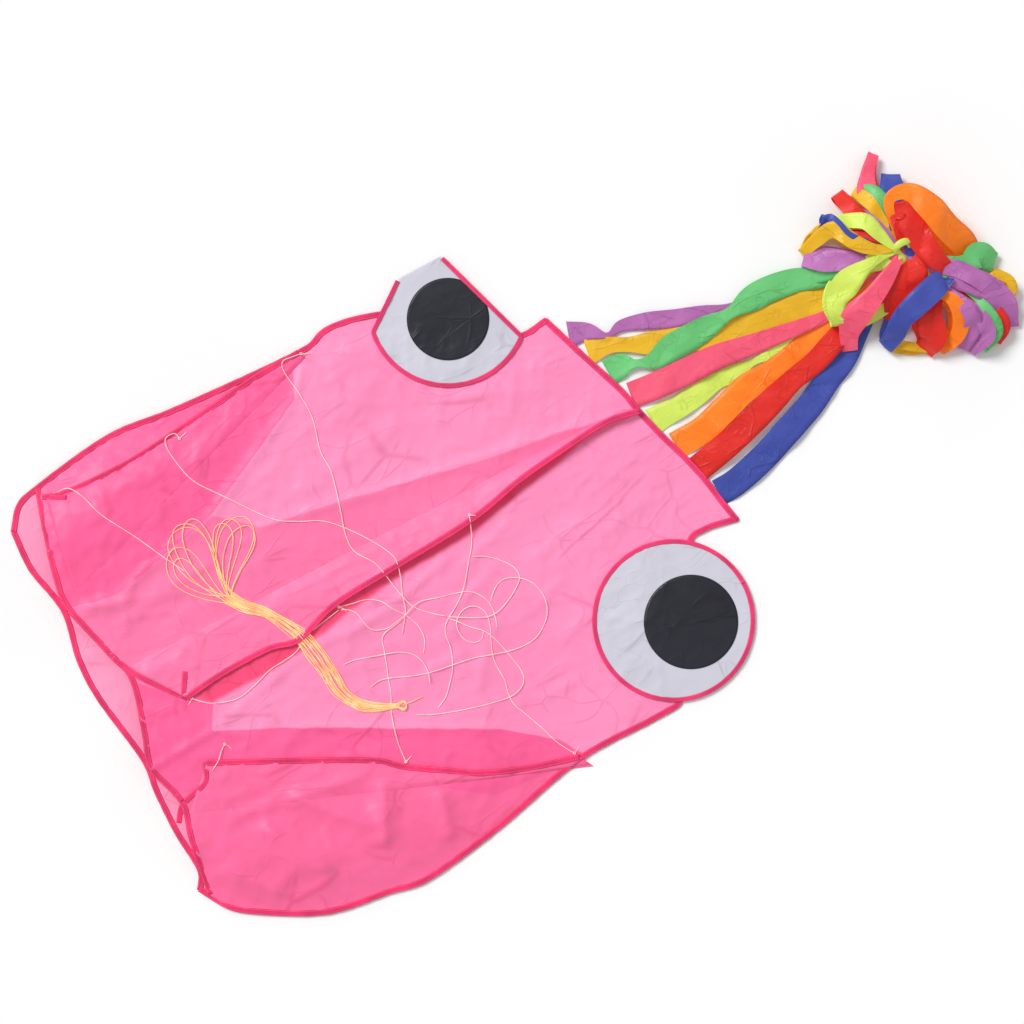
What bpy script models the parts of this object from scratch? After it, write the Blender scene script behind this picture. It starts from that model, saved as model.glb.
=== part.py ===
"""Octopus kite: a frameless two-skin kite lying belly up, with eight streamers tied in a bundle.

+X runs from the open mouth to the streamers, +Y to the kite's left side as it lies, +Z up. The
origin is under the middle of the whole kite, on the floor. All lengths are in metres.
"""

import math

import bmesh
import bpy
from mathutils import Vector

# Cloth and trim
CLOTH = 0.001  # solid thickness that stands for one layer of nylon
SEAM_GAP = 0.0004  # air between two cloth layers that are sewn together
TAPE_WIDTH = 0.0075
TAPE_THICK = 0.0032
RIGHT_TAPE_END = 0.12  # the right side tape ends under the eye
BELLY_SETBACK = 0.003  # the belly's coarser edge keeps this much clear of the side tapes
LINE_WIDE = 0.0012
LINE_PITCH = 0.0018  # height between two lines that cross
LINE_SPACING = 0.011
LINE_POINTS = 36

# How far the collapsed body is puffed up, at the mouth and at the streamers' end
MOUTH_HEIGHT = 0.022
REAR_HEIGHT = 0.003
EDGE_SHOULDER = 0.11  # distance over which the belly rises from the side seams
MOUTH_X = -0.75
FLAT_X = -0.05  # from here on the belly is flat

# Outline of the body: the open mouth, both sides from the mouth back, and the rear edge
MOUTH = [
    (-0.747, 0.345), (-0.747, 0.300), (-0.738, 0.200), (-0.752, 0.125), (-0.748, 0.060),
    (-0.735, -0.070), (-0.742, -0.190), (-0.738, -0.235), (-0.752, -0.262),
]
LEFT_SIDE = [
    (-0.747, 0.345), (-0.720, 0.377), (-0.680, 0.388), (-0.550, 0.405), (-0.440, 0.394),
    (-0.240, 0.383), (-0.190, 0.394), (-0.130, 0.385), (-0.060, 0.355), (0.020, 0.290),
    (0.064, 0.250), (0.112, 0.251),
]
RIGHT_SIDE = [
    (-0.752, -0.262), (-0.730, -0.299), (-0.700, -0.327), (-0.600, -0.382), (-0.500, -0.400),
    (-0.437, -0.410), (-0.310, -0.392), (-0.154, -0.358), (-0.020, -0.357), (0.030, -0.345),
    (0.085, -0.250), (0.143, -0.152), (0.178, -0.140), (0.223, -0.144),
]
REAR_EDGE = [(0.112, 0.251), (0.223, -0.144)]

# Leading edge of the belly sheet, set back from the mouth
BELLY_LIP = [
    (-0.700, 0.384), (-0.706, 0.305), (-0.714, 0.215), (-0.697, 0.115), (-0.668, 0.055),
    (-0.690, 0.000), (-0.722, -0.066), (-0.706, -0.134), (-0.728, -0.195), (-0.738, -0.290),
]

# Keels: free edge from front to rear, and the straight seam that each one folds about
LEFT_KEEL_EDGE = [(-0.678, 0.366), (-0.552, 0.352), (-0.480, 0.350), (-0.367, 0.360), (-0.240, 0.380)]
LEFT_KEEL_SEAM = [(-0.706, 0.205), (-0.234, 0.368)]
MIDDLE_KEEL_EDGE = [(-0.620, 0.003), (-0.523, 0.010), (-0.447, 0.004), (-0.295, 0.030), (0.071, 0.066)]
MIDDLE_KEEL_SEAM = [(-0.640, 0.085), (0.071, 0.080)]
RIGHT_KEEL_EDGE = [(-0.648, -0.095), (-0.427, -0.212), (-0.385, -0.243), (-0.291, -0.303), (-0.160, -0.351)]
RIGHT_KEEL_SEAM = [(-0.712, -0.158), (-0.140, -0.376)]
KEEL_CLEARANCE = 0.0022
KEEL_TAPE_THICK = 0.002
KEEL_STATIONS = 22
LINE_MARGIN = 0.012  # a bridle line is lifted this far before it reaches a keel
RIB_CLEARANCE = 0.0026
MIDDLE_KEEL_RISE = 0.010  # the middle keel's free edge stands this far above its seam

# Ribs: where each one is sewn to the belly and to the back sheet, at the mouth and at its far end
RIBS = {
    "rib_left_outer": ((-0.690, 0.300), (-0.300, 0.300), (-0.690, 0.285), (-0.300, 0.292)),
    "rib_left_inner": ((-0.695, 0.212), (-0.220, 0.190), (-0.695, 0.197), (-0.220, 0.184)),
    "rib_middle": ((-0.655, 0.050), (-0.220, 0.040), (-0.700, -0.060), (-0.220, 0.010)),
    "rib_right_inner": ((-0.690, -0.134), (-0.220, -0.110), (-0.690, -0.146), (-0.220, -0.116)),
    "rib_right_outer": ((-0.690, -0.240), (-0.300, -0.250), (-0.690, -0.252), (-0.300, -0.256)),
}

# Eyes
EYE_RADIUS = 0.119
EYE_BOTTOM = 0.0072
EYE_SIDES = 56
EYE_TAPE_THICK = 0.0022
PUPIL_RADII = {"left": 0.062, "right": 0.071}
PUPIL_FOLD_INSET = 0.012
LEFT_EYE = (-0.009, 0.337)
RIGHT_EYE = (0.069, -0.239)
LEFT_PUPIL = (-0.018, 0.320)
RIGHT_PUPIL = (0.091, -0.253)
LEFT_EYE_TOP = 0.409  # the left eye is folded under along this line
LEFT_EYE_BACK = [(0.064, 0.255), (0.015, 0.411)]  # and along this one

# Streamers, in order along the rear edge from the kite's left side
STREAMER_WIDTH = 0.043
STREAMER_END_WIDTH = 0.022
STREAMERS = {
    "purple": [(0.133, 0.224), (0.158, 0.217), (0.247, 0.179), (0.318, 0.150), (0.406, 0.122), (0.520, 0.085)],
    "gold": [(0.145, 0.176), (0.170, 0.173), (0.255, 0.135), (0.300, 0.111), (0.387, 0.092), (0.520, 0.072)],
    "green": [(0.158, 0.129), (0.207, 0.127), (0.271, 0.124), (0.325, 0.124), (0.394, 0.122), (0.520, 0.090)],
    "rose": [(0.170, 0.084), (0.228, 0.082), (0.292, 0.082), (0.363, 0.074), (0.437, 0.064), (0.515, 0.046)],
    "lime": [(0.181, 0.034), (0.242, 0.036), (0.300, 0.043), (0.370, 0.048), (0.437, 0.048), (0.515, 0.040)],
    "orange": [(0.193, -0.014), (0.245, -0.006), (0.332, 0.012), (0.406, 0.022), (0.510, 0.030)],
    "red": [(0.205, -0.062), (0.250, -0.052), (0.338, -0.028), (0.425, -0.002), (0.505, 0.018)],
    "blue": [(0.217, -0.112), (0.257, -0.104), (0.336, -0.078), (0.417, -0.049), (0.500, -0.008)],
}
STREAMER_LOW = 0.0007
STREAMER_PITCH = 0.0016  # height between two streamers where they cross
TAIL_SEAM_GAP = 0.0015

# Bundle: each streamer's folded rest is a lobe around the knot, at an angle and with a length
KNOT = (0.627, 0.096)
KNOT_RADIUS = 0.014
KNOT_HEIGHT = 0.045
LOBES = {
    "purple": (158, 0.142), "red": (122, 0.130), "rose": (86, 0.146), "blue": (50, 0.112),
    "orange": (14, 0.125), "green": (-20, 0.132), "gold": (-54, 0.172), "lime": (-92, 0.156),
}
LOBE_HALF_WIDTH = 0.030
LOBE_HEIGHT = 0.066
LOBE_SHARE = 0.27  # half width over distance from the knot, so that neighbours stay apart

# Bridle: each line's route from its tie, and its layer where lines cross
LINES = {
    "line_left_front": (0, [
        (-0.6625, 0.365), (-0.640, 0.3625), (-0.625, 0.340), (-0.6125, 0.3025), (-0.585, 0.2525),
        (-0.560, 0.2025), (-0.5425, 0.170),
    ]),
    "line_left_middle": (1, [
        (-0.4575, 0.350), (-0.460, 0.360), (-0.475, 0.360), (-0.480, 0.3475), (-0.4775, 0.320),
        (-0.4675, 0.2825), (-0.4375, 0.240), (-0.3925, 0.180), (-0.360, 0.1575), (-0.3225, 0.1375),
        (-0.2875, 0.0975), (-0.260, 0.0525), (-0.2575, 0.0275), (-0.2725, -0.015), (-0.280, -0.0375),
        (-0.300, -0.065),
    ]),
    "line_left_rear": (2, [
        (-0.2375, 0.3775), (-0.255, 0.380), (-0.2675, 0.380), (-0.2725, 0.365), (-0.2675, 0.325),
        (-0.2675, 0.2825), (-0.280, 0.235), (-0.280, 0.200), (-0.2925, 0.150), (-0.305, 0.1075),
        (-0.305, 0.0775), (-0.285, 0.045), (-0.2775, 0.005), (-0.270, -0.0275), (-0.2625, -0.0425),
        (-0.245, -0.060), (-0.230, -0.0725),
    ]),
    "line_middle_front": (0, [
        (-0.6225, -0.0025), (-0.610, -0.015), (-0.595, -0.025), (-0.5625, -0.035), (-0.5325, -0.030),
        (-0.500, -0.020), (-0.455, -0.015), (-0.425, 0.000), (-0.3675, 0.011),
    ]),
    "line_middle_centre": (2, [
        (-0.365, 0.015), (-0.345, 0.010), (-0.3225, 0.005), (-0.305, -0.0075), (-0.295, -0.025),
        (-0.2825, -0.0425), (-0.275, -0.060), (-0.2725, -0.0725), (-0.275, -0.090), (-0.285, -0.105),
    ]),
    "line_middle_slack": (3, [
        (-0.364, 0.010), (-0.3525, 0.003), (-0.345, -0.008), (-0.3425, -0.0225), (-0.338, -0.037),
        (-0.3275, -0.044), (-0.315, -0.0475), (-0.3025, -0.0455), (-0.285, -0.043), (-0.270, -0.0375),
        (-0.2525, -0.035), (-0.2275, -0.0425), (-0.1975, -0.050), (-0.180, -0.0575), (-0.1675, -0.0725),
        (-0.1625, -0.090), (-0.165, -0.1075), (-0.1695, -0.123),
    ]),
    "line_middle_rear": (1, [
        (-0.1275, 0.045), (-0.132, 0.033), (-0.145, 0.005), (-0.1625, -0.0175), (-0.180, -0.040),
        (-0.1975, -0.0575), (-0.2125, -0.068), (-0.228, -0.077), (-0.2385, -0.0865), (-0.2435, -0.0985),
        (-0.245, -0.1125), (-0.250, -0.130), (-0.260, -0.150), (-0.275, -0.1675), (-0.2875, -0.180),
        (-0.304, -0.188),
    ]),
    "line_right_front": (0, [(-0.611, -0.086), (-0.6215, -0.094), (-0.631, -0.1035), (-0.645, -0.112)]),
    "line_right_middle": (0, [
        (-0.385, -0.237), (-0.3825, -0.210), (-0.3775, -0.1875), (-0.370, -0.1625), (-0.3575, -0.1375),
        (-0.350, -0.115), (-0.3425, -0.095), (-0.335, -0.0725), (-0.330, -0.0575), (-0.321, -0.0515),
        (-0.309, -0.0495), (-0.291, -0.0465),
    ]),
    "line_right_rear": (2, [
        (-0.156, -0.345), (-0.1625, -0.335), (-0.1725, -0.315), (-0.1825, -0.285), (-0.1925, -0.260),
        (-0.2015, -0.2375), (-0.2015, -0.2175), (-0.197, -0.200), (-0.1975, -0.180), (-0.196, -0.160),
        (-0.1875, -0.1375), (-0.1775, -0.115), (-0.175, -0.095), (-0.184, -0.080), (-0.200, -0.076),
        (-0.2155, -0.083), (-0.2235, -0.0975), (-0.2215, -0.1165), (-0.2105, -0.1275), (-0.1985, -0.128),
        (-0.190, -0.118),
    ]),
    "tow_line": (4, [
        (-0.227, -0.0785), (-0.2175, -0.0885), (-0.205, -0.104), (-0.191, -0.1175), (-0.1825, -0.1325),
        (-0.1765, -0.1525), (-0.172, -0.175), (-0.1685, -0.195), (-0.1705, -0.210), (-0.179, -0.2195),
        (-0.195, -0.2245), (-0.2125, -0.2235), (-0.2325, -0.2195), (-0.2525, -0.2145), (-0.285, -0.205),
        (-0.3175, -0.193), (-0.338, -0.182),
    ]),
    "line_loop_upper": (5, [
        (-0.226, -0.0755), (-0.210, -0.085), (-0.190, -0.0965), (-0.1725, -0.103), (-0.155, -0.1025),
        (-0.134, -0.0945), (-0.119, -0.0855), (-0.1065, -0.0755), (-0.1035, -0.0625), (-0.110, -0.0475),
        (-0.1225, -0.0325), (-0.1375, -0.020), (-0.1525, -0.0125),
    ]),
    "line_loop_lower": (6, [
        (-0.160, -0.0845), (-0.1495, -0.0735), (-0.136, -0.0655), (-0.1215, -0.0655), (-0.1045, -0.0745),
        (-0.0915, -0.090), (-0.086, -0.110), (-0.0885, -0.1285), (-0.0975, -0.145), (-0.1145, -0.159),
        (-0.135, -0.1665), (-0.165, -0.1645), (-0.195, -0.156), (-0.225, -0.147), (-0.2565, -0.1415),
        (-0.290, -0.136), (-0.3175, -0.1275), (-0.3425, -0.117), (-0.362, -0.111), (-0.379, -0.1135),
    ]),
    "line_hank_slack": (1, [
        (-0.399, -0.0645), (-0.381, -0.0665), (-0.3625, -0.072), (-0.345, -0.0775), (-0.3275, -0.083),
        (-0.311, -0.091), (-0.2985, -0.1025), (-0.2925, -0.1175), (-0.2925, -0.135), (-0.2975, -0.1485),
    ]),
}
HANK_LAYER = 3
HANK_THICK = 0.006
HANK = [  # middle of the hank and its width there
    (-0.480, 0.228, 0.070), (-0.484, 0.212, 0.112), (-0.490, 0.190, 0.118), (-0.497, 0.168, 0.090),
    (-0.502, 0.140, 0.040), (-0.502, 0.108, 0.026), (-0.489, 0.082, 0.022), (-0.462, 0.055, 0.016),
    (-0.437, 0.008, 0.026), (-0.428, -0.032, 0.028), (-0.424, -0.068, 0.026), (-0.421, -0.100, 0.022),
    (-0.407, -0.127, 0.018), (-0.387, -0.143, 0.016), (-0.3655, -0.1535, 0.012),
]
HANK_END = [(-0.357, -0.157), (-0.340, -0.161), (-0.318, -0.1625)]
HANK_END_WIDE = 0.007

PINK = (0.98, 0.30, 0.52)
DEEP_PINK = (0.95, 0.05, 0.18)
EYE_WHITE = (0.62, 0.61, 0.70)
EYE_BLACK = (0.03, 0.03, 0.045)
LINE_PINK = (0.95, 0.80, 0.72)
HANK_CREAM = (0.93, 0.66, 0.33)
COLOURS = {
    "purple": (0.48, 0.17, 0.50), "gold": (0.80, 0.50, 0.03), "green": (0.12, 0.62, 0.22),
    "rose": (0.85, 0.12, 0.22), "lime": (0.66, 0.83, 0.15), "orange": (1.00, 0.27, 0.01),
    "red": (0.75, 0.03, 0.02), "blue": (0.06, 0.09, 0.45),
}


def clear_scene():
    for obj in list(bpy.data.objects):
        bpy.data.objects.remove(obj)


def material(name, colour, roughness):
    made = bpy.data.materials.new(name)
    made.use_nodes = True
    shader = made.node_tree.nodes["Principled BSDF"]
    shader.inputs["Base Color"].default_value = (*colour, 1.0)
    shader.inputs["Roughness"].default_value = roughness
    shader.inputs["Metallic"].default_value = 0.0
    return made


def add_solid(name, points, faces, colour, roughness=0.55):
    """One closed solid with its own material, faces pointing out."""
    mesh = bpy.data.meshes.new(name)
    bm = bmesh.new()
    corners = [bm.verts.new(point) for point in points]
    for face in faces:
        bm.faces.new([corners[i] for i in face])
    bmesh.ops.recalc_face_normals(bm, faces=bm.faces)
    if bm.calc_volume(signed=True) < 0:
        bmesh.ops.reverse_faces(bm, faces=bm.faces)
    bm.to_mesh(mesh)
    bm.free()
    mesh.materials.append(material(name + "_material", colour, roughness))
    obj = bpy.data.objects.new(name, mesh)
    bpy.context.collection.objects.link(obj)
    return obj


# Plane geometry


def between(a, b, t):
    return tuple(p + (q - p) * t for p, q in zip(a, b))


def length_of(line):
    return sum(math.dist(line[i], line[i + 1]) for i in range(len(line) - 1))


def spaced(line, count):
    """That many points at even steps along a line of points."""
    total = length_of(line)
    found = []
    passed, i = 0.0, 0
    for k in range(count):
        target = total * k / (count - 1)
        while i < len(line) - 2 and passed + math.dist(line[i], line[i + 1]) < target:
            passed += math.dist(line[i], line[i + 1])
            i += 1
        step = math.dist(line[i], line[i + 1])
        found.append(between(line[i], line[i + 1], min(1.0, (target - passed) / step)))
    return found


def smooth(line, steps=8):
    """A Catmull-Rom curve through the points of a line."""
    ends = [between(line[1], line[0], 2.0), *line, between(line[-2], line[-1], 2.0)]
    curve = []
    for a, b, c, d in zip(ends, ends[1:], ends[2:], ends[3:]):
        for k in range(steps):
            t = k / steps
            curve.append(tuple(
                0.5 * (2 * q + (r - p) * t + (2 * p - 5 * q + 4 * r - s) * t * t
                       + (3 * q - p - 3 * r + s) * t ** 3)
                for p, q, r, s in zip(a, b, c, d)
            ))
    return curve + [line[-1]]


def sideways(line, i):
    """Unit vector to the left of a line's direction at one of its points."""
    a = line[max(0, i - 1)]
    b = line[min(len(line) - 1, i + 1)]
    dx, dy = b[0] - a[0], b[1] - a[1]
    size = math.hypot(dx, dy)
    return -dy / size, dx / size


def shifted(line, distance):
    """The line moved to its left by a distance, or by a list of distances."""
    moves = distance if isinstance(distance, list) else [distance] * len(line)
    return [
        (p[0] + sideways(line, i)[0] * moves[i], p[1] + sideways(line, i)[1] * moves[i])
        for i, p in enumerate(line)
    ]


def distance_to(line, x, y):
    nearest = math.inf
    for (ax, ay), (bx, by) in zip(line, line[1:]):
        dx, dy = bx - ax, by - ay
        t = ((x - ax) * dx + (y - ay) * dy) / (dx * dx + dy * dy)
        t = min(1.0, max(0.0, t))
        nearest = min(nearest, math.hypot(x - ax - t * dx, y - ay - t * dy))
    return nearest


LEFT_EDGE = spaced(smooth(LEFT_SIDE), 60)
RIGHT_EDGE = spaced(smooth(RIGHT_SIDE), 64)
CLOSED_EDGES = (LEFT_EDGE, RIGHT_EDGE, REAR_EDGE)


# Heights


def ease(t):
    t = min(1.0, max(0.0, t))
    return t * t * (3 - 2 * t)


def belly_top(x, y):
    """Height of the belly sheet's upper face, lowest along the closed edges."""
    along = ease((FLAT_X - x) / (FLAT_X - MOUTH_X))
    crown = REAR_HEIGHT + (MOUTH_HEIGHT - REAR_HEIGHT) * along
    inward = min(distance_to(edge, x, y) for edge in CLOSED_EDGES) / EDGE_SHOULDER
    return 2 * CLOTH + SEAM_GAP + crown * ease(inward + 0.15)


def inside(point, corners):
    signs = []
    for (ax, ay), (bx, by) in zip(corners, corners[1:] + corners[:1]):
        signs.append((bx - ax) * (point[1] - ay) - (by - ay) * (point[0] - ax))
    return all(s >= 0 for s in signs) or all(s <= 0 for s in signs)


class Keel:
    """A flat cloth fin that lies on the belly and folds about its straight seam."""

    def __init__(self, seam, edge, rise):
        self.seam = seam
        self.free = spaced(smooth(edge), KEEL_STATIONS + 1)
        self.roots = [between(seam[0], seam[1], i / KEEL_STATIONS) for i in range(KEEL_STATIONS + 1)]
        self.ends = [belly_top(x, y) for x, y in seam]
        self.slope = 0.0
        spare = max(belly_top(x, y) - self.height(x, y) for x, y in self.roots)
        self.ends = [z + spare + KEEL_CLEARANCE for z in self.ends]
        for root, tip in zip(self.roots, self.free):
            for k in range(1, 7):
                x, y = between(root, tip, k / 6)
                need = belly_top(x, y) + KEEL_CLEARANCE - self.height(x, y)
                self.slope += max(0.0, need / distance_to(seam, x, y))
        self.slope += rise / distance_to(seam, *self.free[0])

    def height(self, x, y):
        """Height of the fin's underside."""
        front, rear = self.ends
        (ax, ay), (bx, by) = self.seam
        dx, dy = bx - ax, by - ay
        t = ((x - ax) * dx + (y - ay) * dy) / (dx * dx + dy * dy)
        return front + (rear - front) * t + self.slope * distance_to(self.seam, x, y)

    def covers(self, x, y):
        if distance_to(self.free, x, y) < LINE_MARGIN or distance_to(self.seam, x, y) < LINE_MARGIN:
            return True
        quads = zip(self.roots, self.free, self.free[1:], self.roots[1:])
        return any(inside((x, y), quad) for quad in quads)


KEELS = {
    "left_keel": Keel(LEFT_KEEL_SEAM, LEFT_KEEL_EDGE, 0.0),
    "middle_keel": Keel(MIDDLE_KEEL_SEAM, MIDDLE_KEEL_EDGE, MIDDLE_KEEL_RISE),
    "right_keel": Keel(RIGHT_KEEL_SEAM, RIGHT_KEEL_EDGE, 0.0),
}


def surface_top(x, y):
    """Height of whatever lies uppermost on the body."""
    top = belly_top(x, y)
    for keel in KEELS.values():
        if keel.covers(x, y):
            top = max(top, keel.height(x, y) + KEEL_TAPE_THICK)
    return top


# Solids


def loft(name, sections, colour, roughness=0.55):
    """A closed solid through equal rings of points, with flat ends."""
    ring = len(sections[0])
    points = [p for section in sections for p in section]
    faces = [tuple(range(ring)), tuple(range((len(sections) - 1) * ring, len(sections) * ring))]
    for i in range(len(sections) - 1):
        for k in range(ring):
            a, b = i * ring + k, i * ring + (k + 1) % ring
            faces += [(a, b, b + ring), (a, b + ring, a + ring)]
    return add_solid(name, points, faces, colour, roughness)


def slab(name, rows, bottom, thick, colour, roughness=0.55):
    """A closed sheet over rows of plan points; bottom gives its lower face's height."""
    across = len(rows[0])
    low = [(x, y, bottom(x, y)) for row in rows for x, y in row]
    points = low + [(x, y, z + thick) for x, y, z in low]
    faces = []
    for i in range(len(rows) - 1):
        for k in range(across - 1):
            a, b = i * across + k, i * across + k + 1
            c, d = b + across, a + across
            for near in (0, len(low)):
                faces += [(a + near, b + near, c + near), (a + near, c + near, d + near)]
    rim = [k for k in range(across)]
    rim += [i * across + across - 1 for i in range(1, len(rows))]
    rim += [(len(rows) - 1) * across + k for k in range(across - 2, -1, -1)]
    rim += [i * across for i in range(len(rows) - 2, 0, -1)]
    for a, b in zip(rim, rim[1:] + rim[:1]):
        faces += [(a, b, b + len(low)), (a, b + len(low), a + len(low))]
    return add_solid(name, points, faces, colour, roughness)


def plate(name, outline, bottom, thick, colour, roughness=0.55):
    """A flat plate with the given plan outline."""
    n = len(outline)
    points = [(x, y, bottom) for x, y in outline] + [(x, y, bottom + thick) for x, y in outline]
    faces = [tuple(range(n)), tuple(range(n, 2 * n))]
    faces += [(i, (i + 1) % n, (i + 1) % n + n, i + n) for i in range(n)]
    return add_solid(name, points, faces, colour, roughness)


def tape(name, line, bottom, thick=TAPE_THICK, width=TAPE_WIDTH, colour=DEEP_PINK):
    """A flat binding tape that lies to the left of a line of plan points."""
    return slab(name, list(zip(line, shifted(line, width))), bottom, thick, colour)


def sheet_rows(front, left, right, rear, rows):
    """Coons grid between four edges; front and rear run from the left side to the right."""
    columns = len(front)
    left, right = spaced(left, rows), spaced(right, rows)
    rear = spaced(rear, columns)
    grid = []
    for i in range(rows):
        u = i / (rows - 1)
        row = []
        for k in range(columns):
            v = k / (columns - 1)
            row.append(tuple(
                (1 - v) * left[i][n] + v * right[i][n] + (1 - u) * front[k][n] + u * rear[k][n]
                - (1 - u) * (1 - v) * left[0][n] - (1 - u) * v * right[0][n]
                - u * (1 - v) * left[-1][n] - u * v * right[-1][n]
                for n in (0, 1)
            ))
        grid.append(row)
    return grid


def from_x(line, x):
    """The part of a side line behind a given X."""
    return [p for p in line if p[0] > x]


# Body


def inset_loop(points, distance):
    """A closed outline, running counterclockwise, moved inwards by a distance."""
    moved = []
    for i, p in enumerate(points):
        before, after = points[i - 1], points[(i + 1) % len(points)]
        first = sideways([before, p], 0)
        second = sideways([p, after], 0)
        spread = 1 + first[0] * second[0] + first[1] * second[1]
        moved.append((
            p[0] + distance * (first[0] + second[0]) / spread,
            p[1] + distance * (first[1] + second[1]) / spread,
        ))
    return moved


def make_body():
    inset = TAPE_WIDTH + SEAM_GAP
    outline = RIGHT_EDGE[:-1] + REAR_EDGE[:0:-1] + LEFT_EDGE[:0:-1] + spaced(smooth(MOUTH), 40)[:-1]
    plate("back_sheet", inset_loop(outline, inset), 0.0, CLOTH, PINK)

    left = shifted(LEFT_EDGE, -inset - BELLY_SETBACK)
    right = shifted(RIGHT_EDGE, inset + BELLY_SETBACK)
    rear = shifted(REAR_EDGE, -inset)
    lip_line = spaced(smooth(BELLY_LIP), 25)
    lip = shifted(lip_line, inset)
    left_part = [lip[0]] + from_x(left, lip[0][0] + 0.01)[:-2] + [between(rear[0], rear[1], 0.03)]
    right_part = [lip[-1]] + from_x(right, lip[-1][0] + 0.01)[:-2] + [between(rear[-1], rear[-2], 0.03)]
    rear_part = [left_part[-1], right_part[-1]]
    rows = sheet_rows(lip, left_part, right_part, rear_part, 20)
    slab("belly_sheet", rows, lambda x, y: belly_top(x, y) - CLOTH, CLOTH, PINK)

    tape("mouth_binding_back", spaced(smooth(MOUTH), 41)[1:-1], lambda x, y: 0.0)
    tape("mouth_binding_belly", lip_line[1:-1], lambda x, y: belly_top(x, y) - CLOTH - 0.001)
    tape("side_binding_left", list(reversed(LEFT_EDGE[1:-2])), lambda x, y: 0.0)
    tape("side_binding_right", [p for p in RIGHT_EDGE[1:] if p[0] < RIGHT_TAPE_END], lambda x, y: 0.0)
    tape("rear_binding", list(reversed(spaced(REAR_EDGE, 9))), lambda x, y: 0.0)


def make_rib(name, corners):
    """A cloth wall between the skins, leaning over as it does in a collapsed kite."""
    belly_front, belly_rear, back_front, back_rear = corners
    sections = []
    for i in range(17):
        top_x, top_y = between(belly_front, belly_rear, i / 16)
        low_x, low_y = between(back_front, back_rear, i / 16)
        top = Vector((top_x, top_y, belly_top(top_x, top_y) - CLOTH - RIB_CLEARANCE))
        low = Vector((low_x, low_y, CLOTH + 0.0012))
        across = (top - low).cross(Vector((1, 0, 0))).normalized() * CLOTH / 2
        sections.append([low + across, top + across, top - across, low - across])
    loft(name, sections, PINK)


# Keels


def make_keel(name, keel):
    """The fin's cloth, and the tape along its free edge."""
    middle = KEEL_STATIONS // 2
    normal = sideways(keel.free, middle)
    seam_ward = (keel.roots[middle][0] - keel.free[middle][0]) * normal[0]
    seam_ward += (keel.roots[middle][1] - keel.free[middle][1]) * normal[1]
    turn = 1 if seam_ward > 0 else -1
    cloth_edge = shifted(keel.free, turn * (TAPE_WIDTH + SEAM_GAP))
    rows = [
        [between(keel.roots[i], cloth_edge[i], k / 3) for k in range(4)]
        for i in range(KEEL_STATIONS)
    ]
    slab(name, rows, keel.height, CLOTH, PINK)
    line = keel.free[:KEEL_STATIONS]
    tape(name + "_binding", line if turn > 0 else line[::-1], keel.height, thick=KEEL_TAPE_THICK)


# Eyes


def eye_outline(centre, radius, fold_inset=None):
    """A circle. With a fold inset, it is cut that far inside the lines where the disc is folded under."""
    (ax, ay), (bx, by) = LEFT_EYE_BACK
    size = math.hypot(bx - ax, by - ay)
    normal = ((by - ay) / size, -(bx - ax) / size)
    points = []
    for k in range(EYE_SIDES):
        angle = 2 * math.pi * k / EYE_SIDES
        x, y = centre[0] + radius * math.cos(angle), centre[1] + radius * math.sin(angle)
        if fold_inset is not None:
            beyond = (x - ax) * normal[0] + (y - ay) * normal[1] + fold_inset
            if beyond > 0:
                x, y = x - normal[0] * beyond, y - normal[1] * beyond
            y = min(y, LEFT_EYE_TOP - fold_inset)
        points.append((x, y))
    return points


def make_eye(side, centre, pupil, folded):
    inset = TAPE_WIDTH + SEAM_GAP
    depths = (0.0, TAPE_WIDTH, inset, PUPIL_FOLD_INSET) if folded else (None,) * 4
    outer = eye_outline(centre, EYE_RADIUS, depths[0])
    inner = eye_outline(centre, EYE_RADIUS - TAPE_WIDTH, depths[1])
    white = eye_outline(centre, EYE_RADIUS - inset, depths[2])
    plate(side + "_eye_white", white, EYE_BOTTOM, CLOTH, EYE_WHITE, 0.5)
    dark = eye_outline(pupil, PUPIL_RADII[side], depths[3])
    plate(side + "_eye_pupil", dark, EYE_BOTTOM + CLOTH + SEAM_GAP, CLOTH, EYE_BLACK, 0.5)
    n = len(outer)
    top = EYE_BOTTOM + EYE_TAPE_THICK
    rings = [(inner, EYE_BOTTOM), (outer, EYE_BOTTOM), (outer, top), (inner, top)]
    points = [(x, y, z) for line, z in rings for x, y in line]
    faces = []
    for j in range(4):
        for k in range(n):
            a, b = j * n + k, j * n + (k + 1) % n
            c, d = (j + 1) % 4 * n + (k + 1) % n, (j + 1) % 4 * n + k
            faces.append((a, b, c, d))
    add_solid(side + "_eye_binding", points, faces, DEEP_PINK)


# Tail


def make_streamer(name, route, layer):
    """A flat ribbon from the rear seam to the bundle, rising to its own layer."""
    line = spaced(smooth(route), 19)
    line[0] = rear_point(route[0])
    sections = []
    for i, (x, y) in enumerate(line):
        share = i / (len(line) - 1)
        half = between((STREAMER_WIDTH,), (STREAMER_END_WIDTH,), ease(share * 1.2 - 0.2))[0] / 2
        if i == 0:
            side = rear_direction()
        else:
            side = sideways(line, i)
        z = STREAMER_LOW + layer * STREAMER_PITCH * ease(share * 18)
        left = (x + side[0] * half, y + side[1] * half)
        right = (x - side[0] * half, y - side[1] * half)
        sections.append([(*left, z), (*right, z), (*right, z + CLOTH), (*left, z + CLOTH)])
    loft(name + "_streamer", sections, COLOURS[name])


def rear_direction():
    """Unit vector along the rear edge, towards the kite's left side."""
    a, b = REAR_EDGE[-1], REAR_EDGE[0]
    size = math.dist(a, b)
    return (b[0] - a[0]) / size, (b[1] - a[1]) / size


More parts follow.
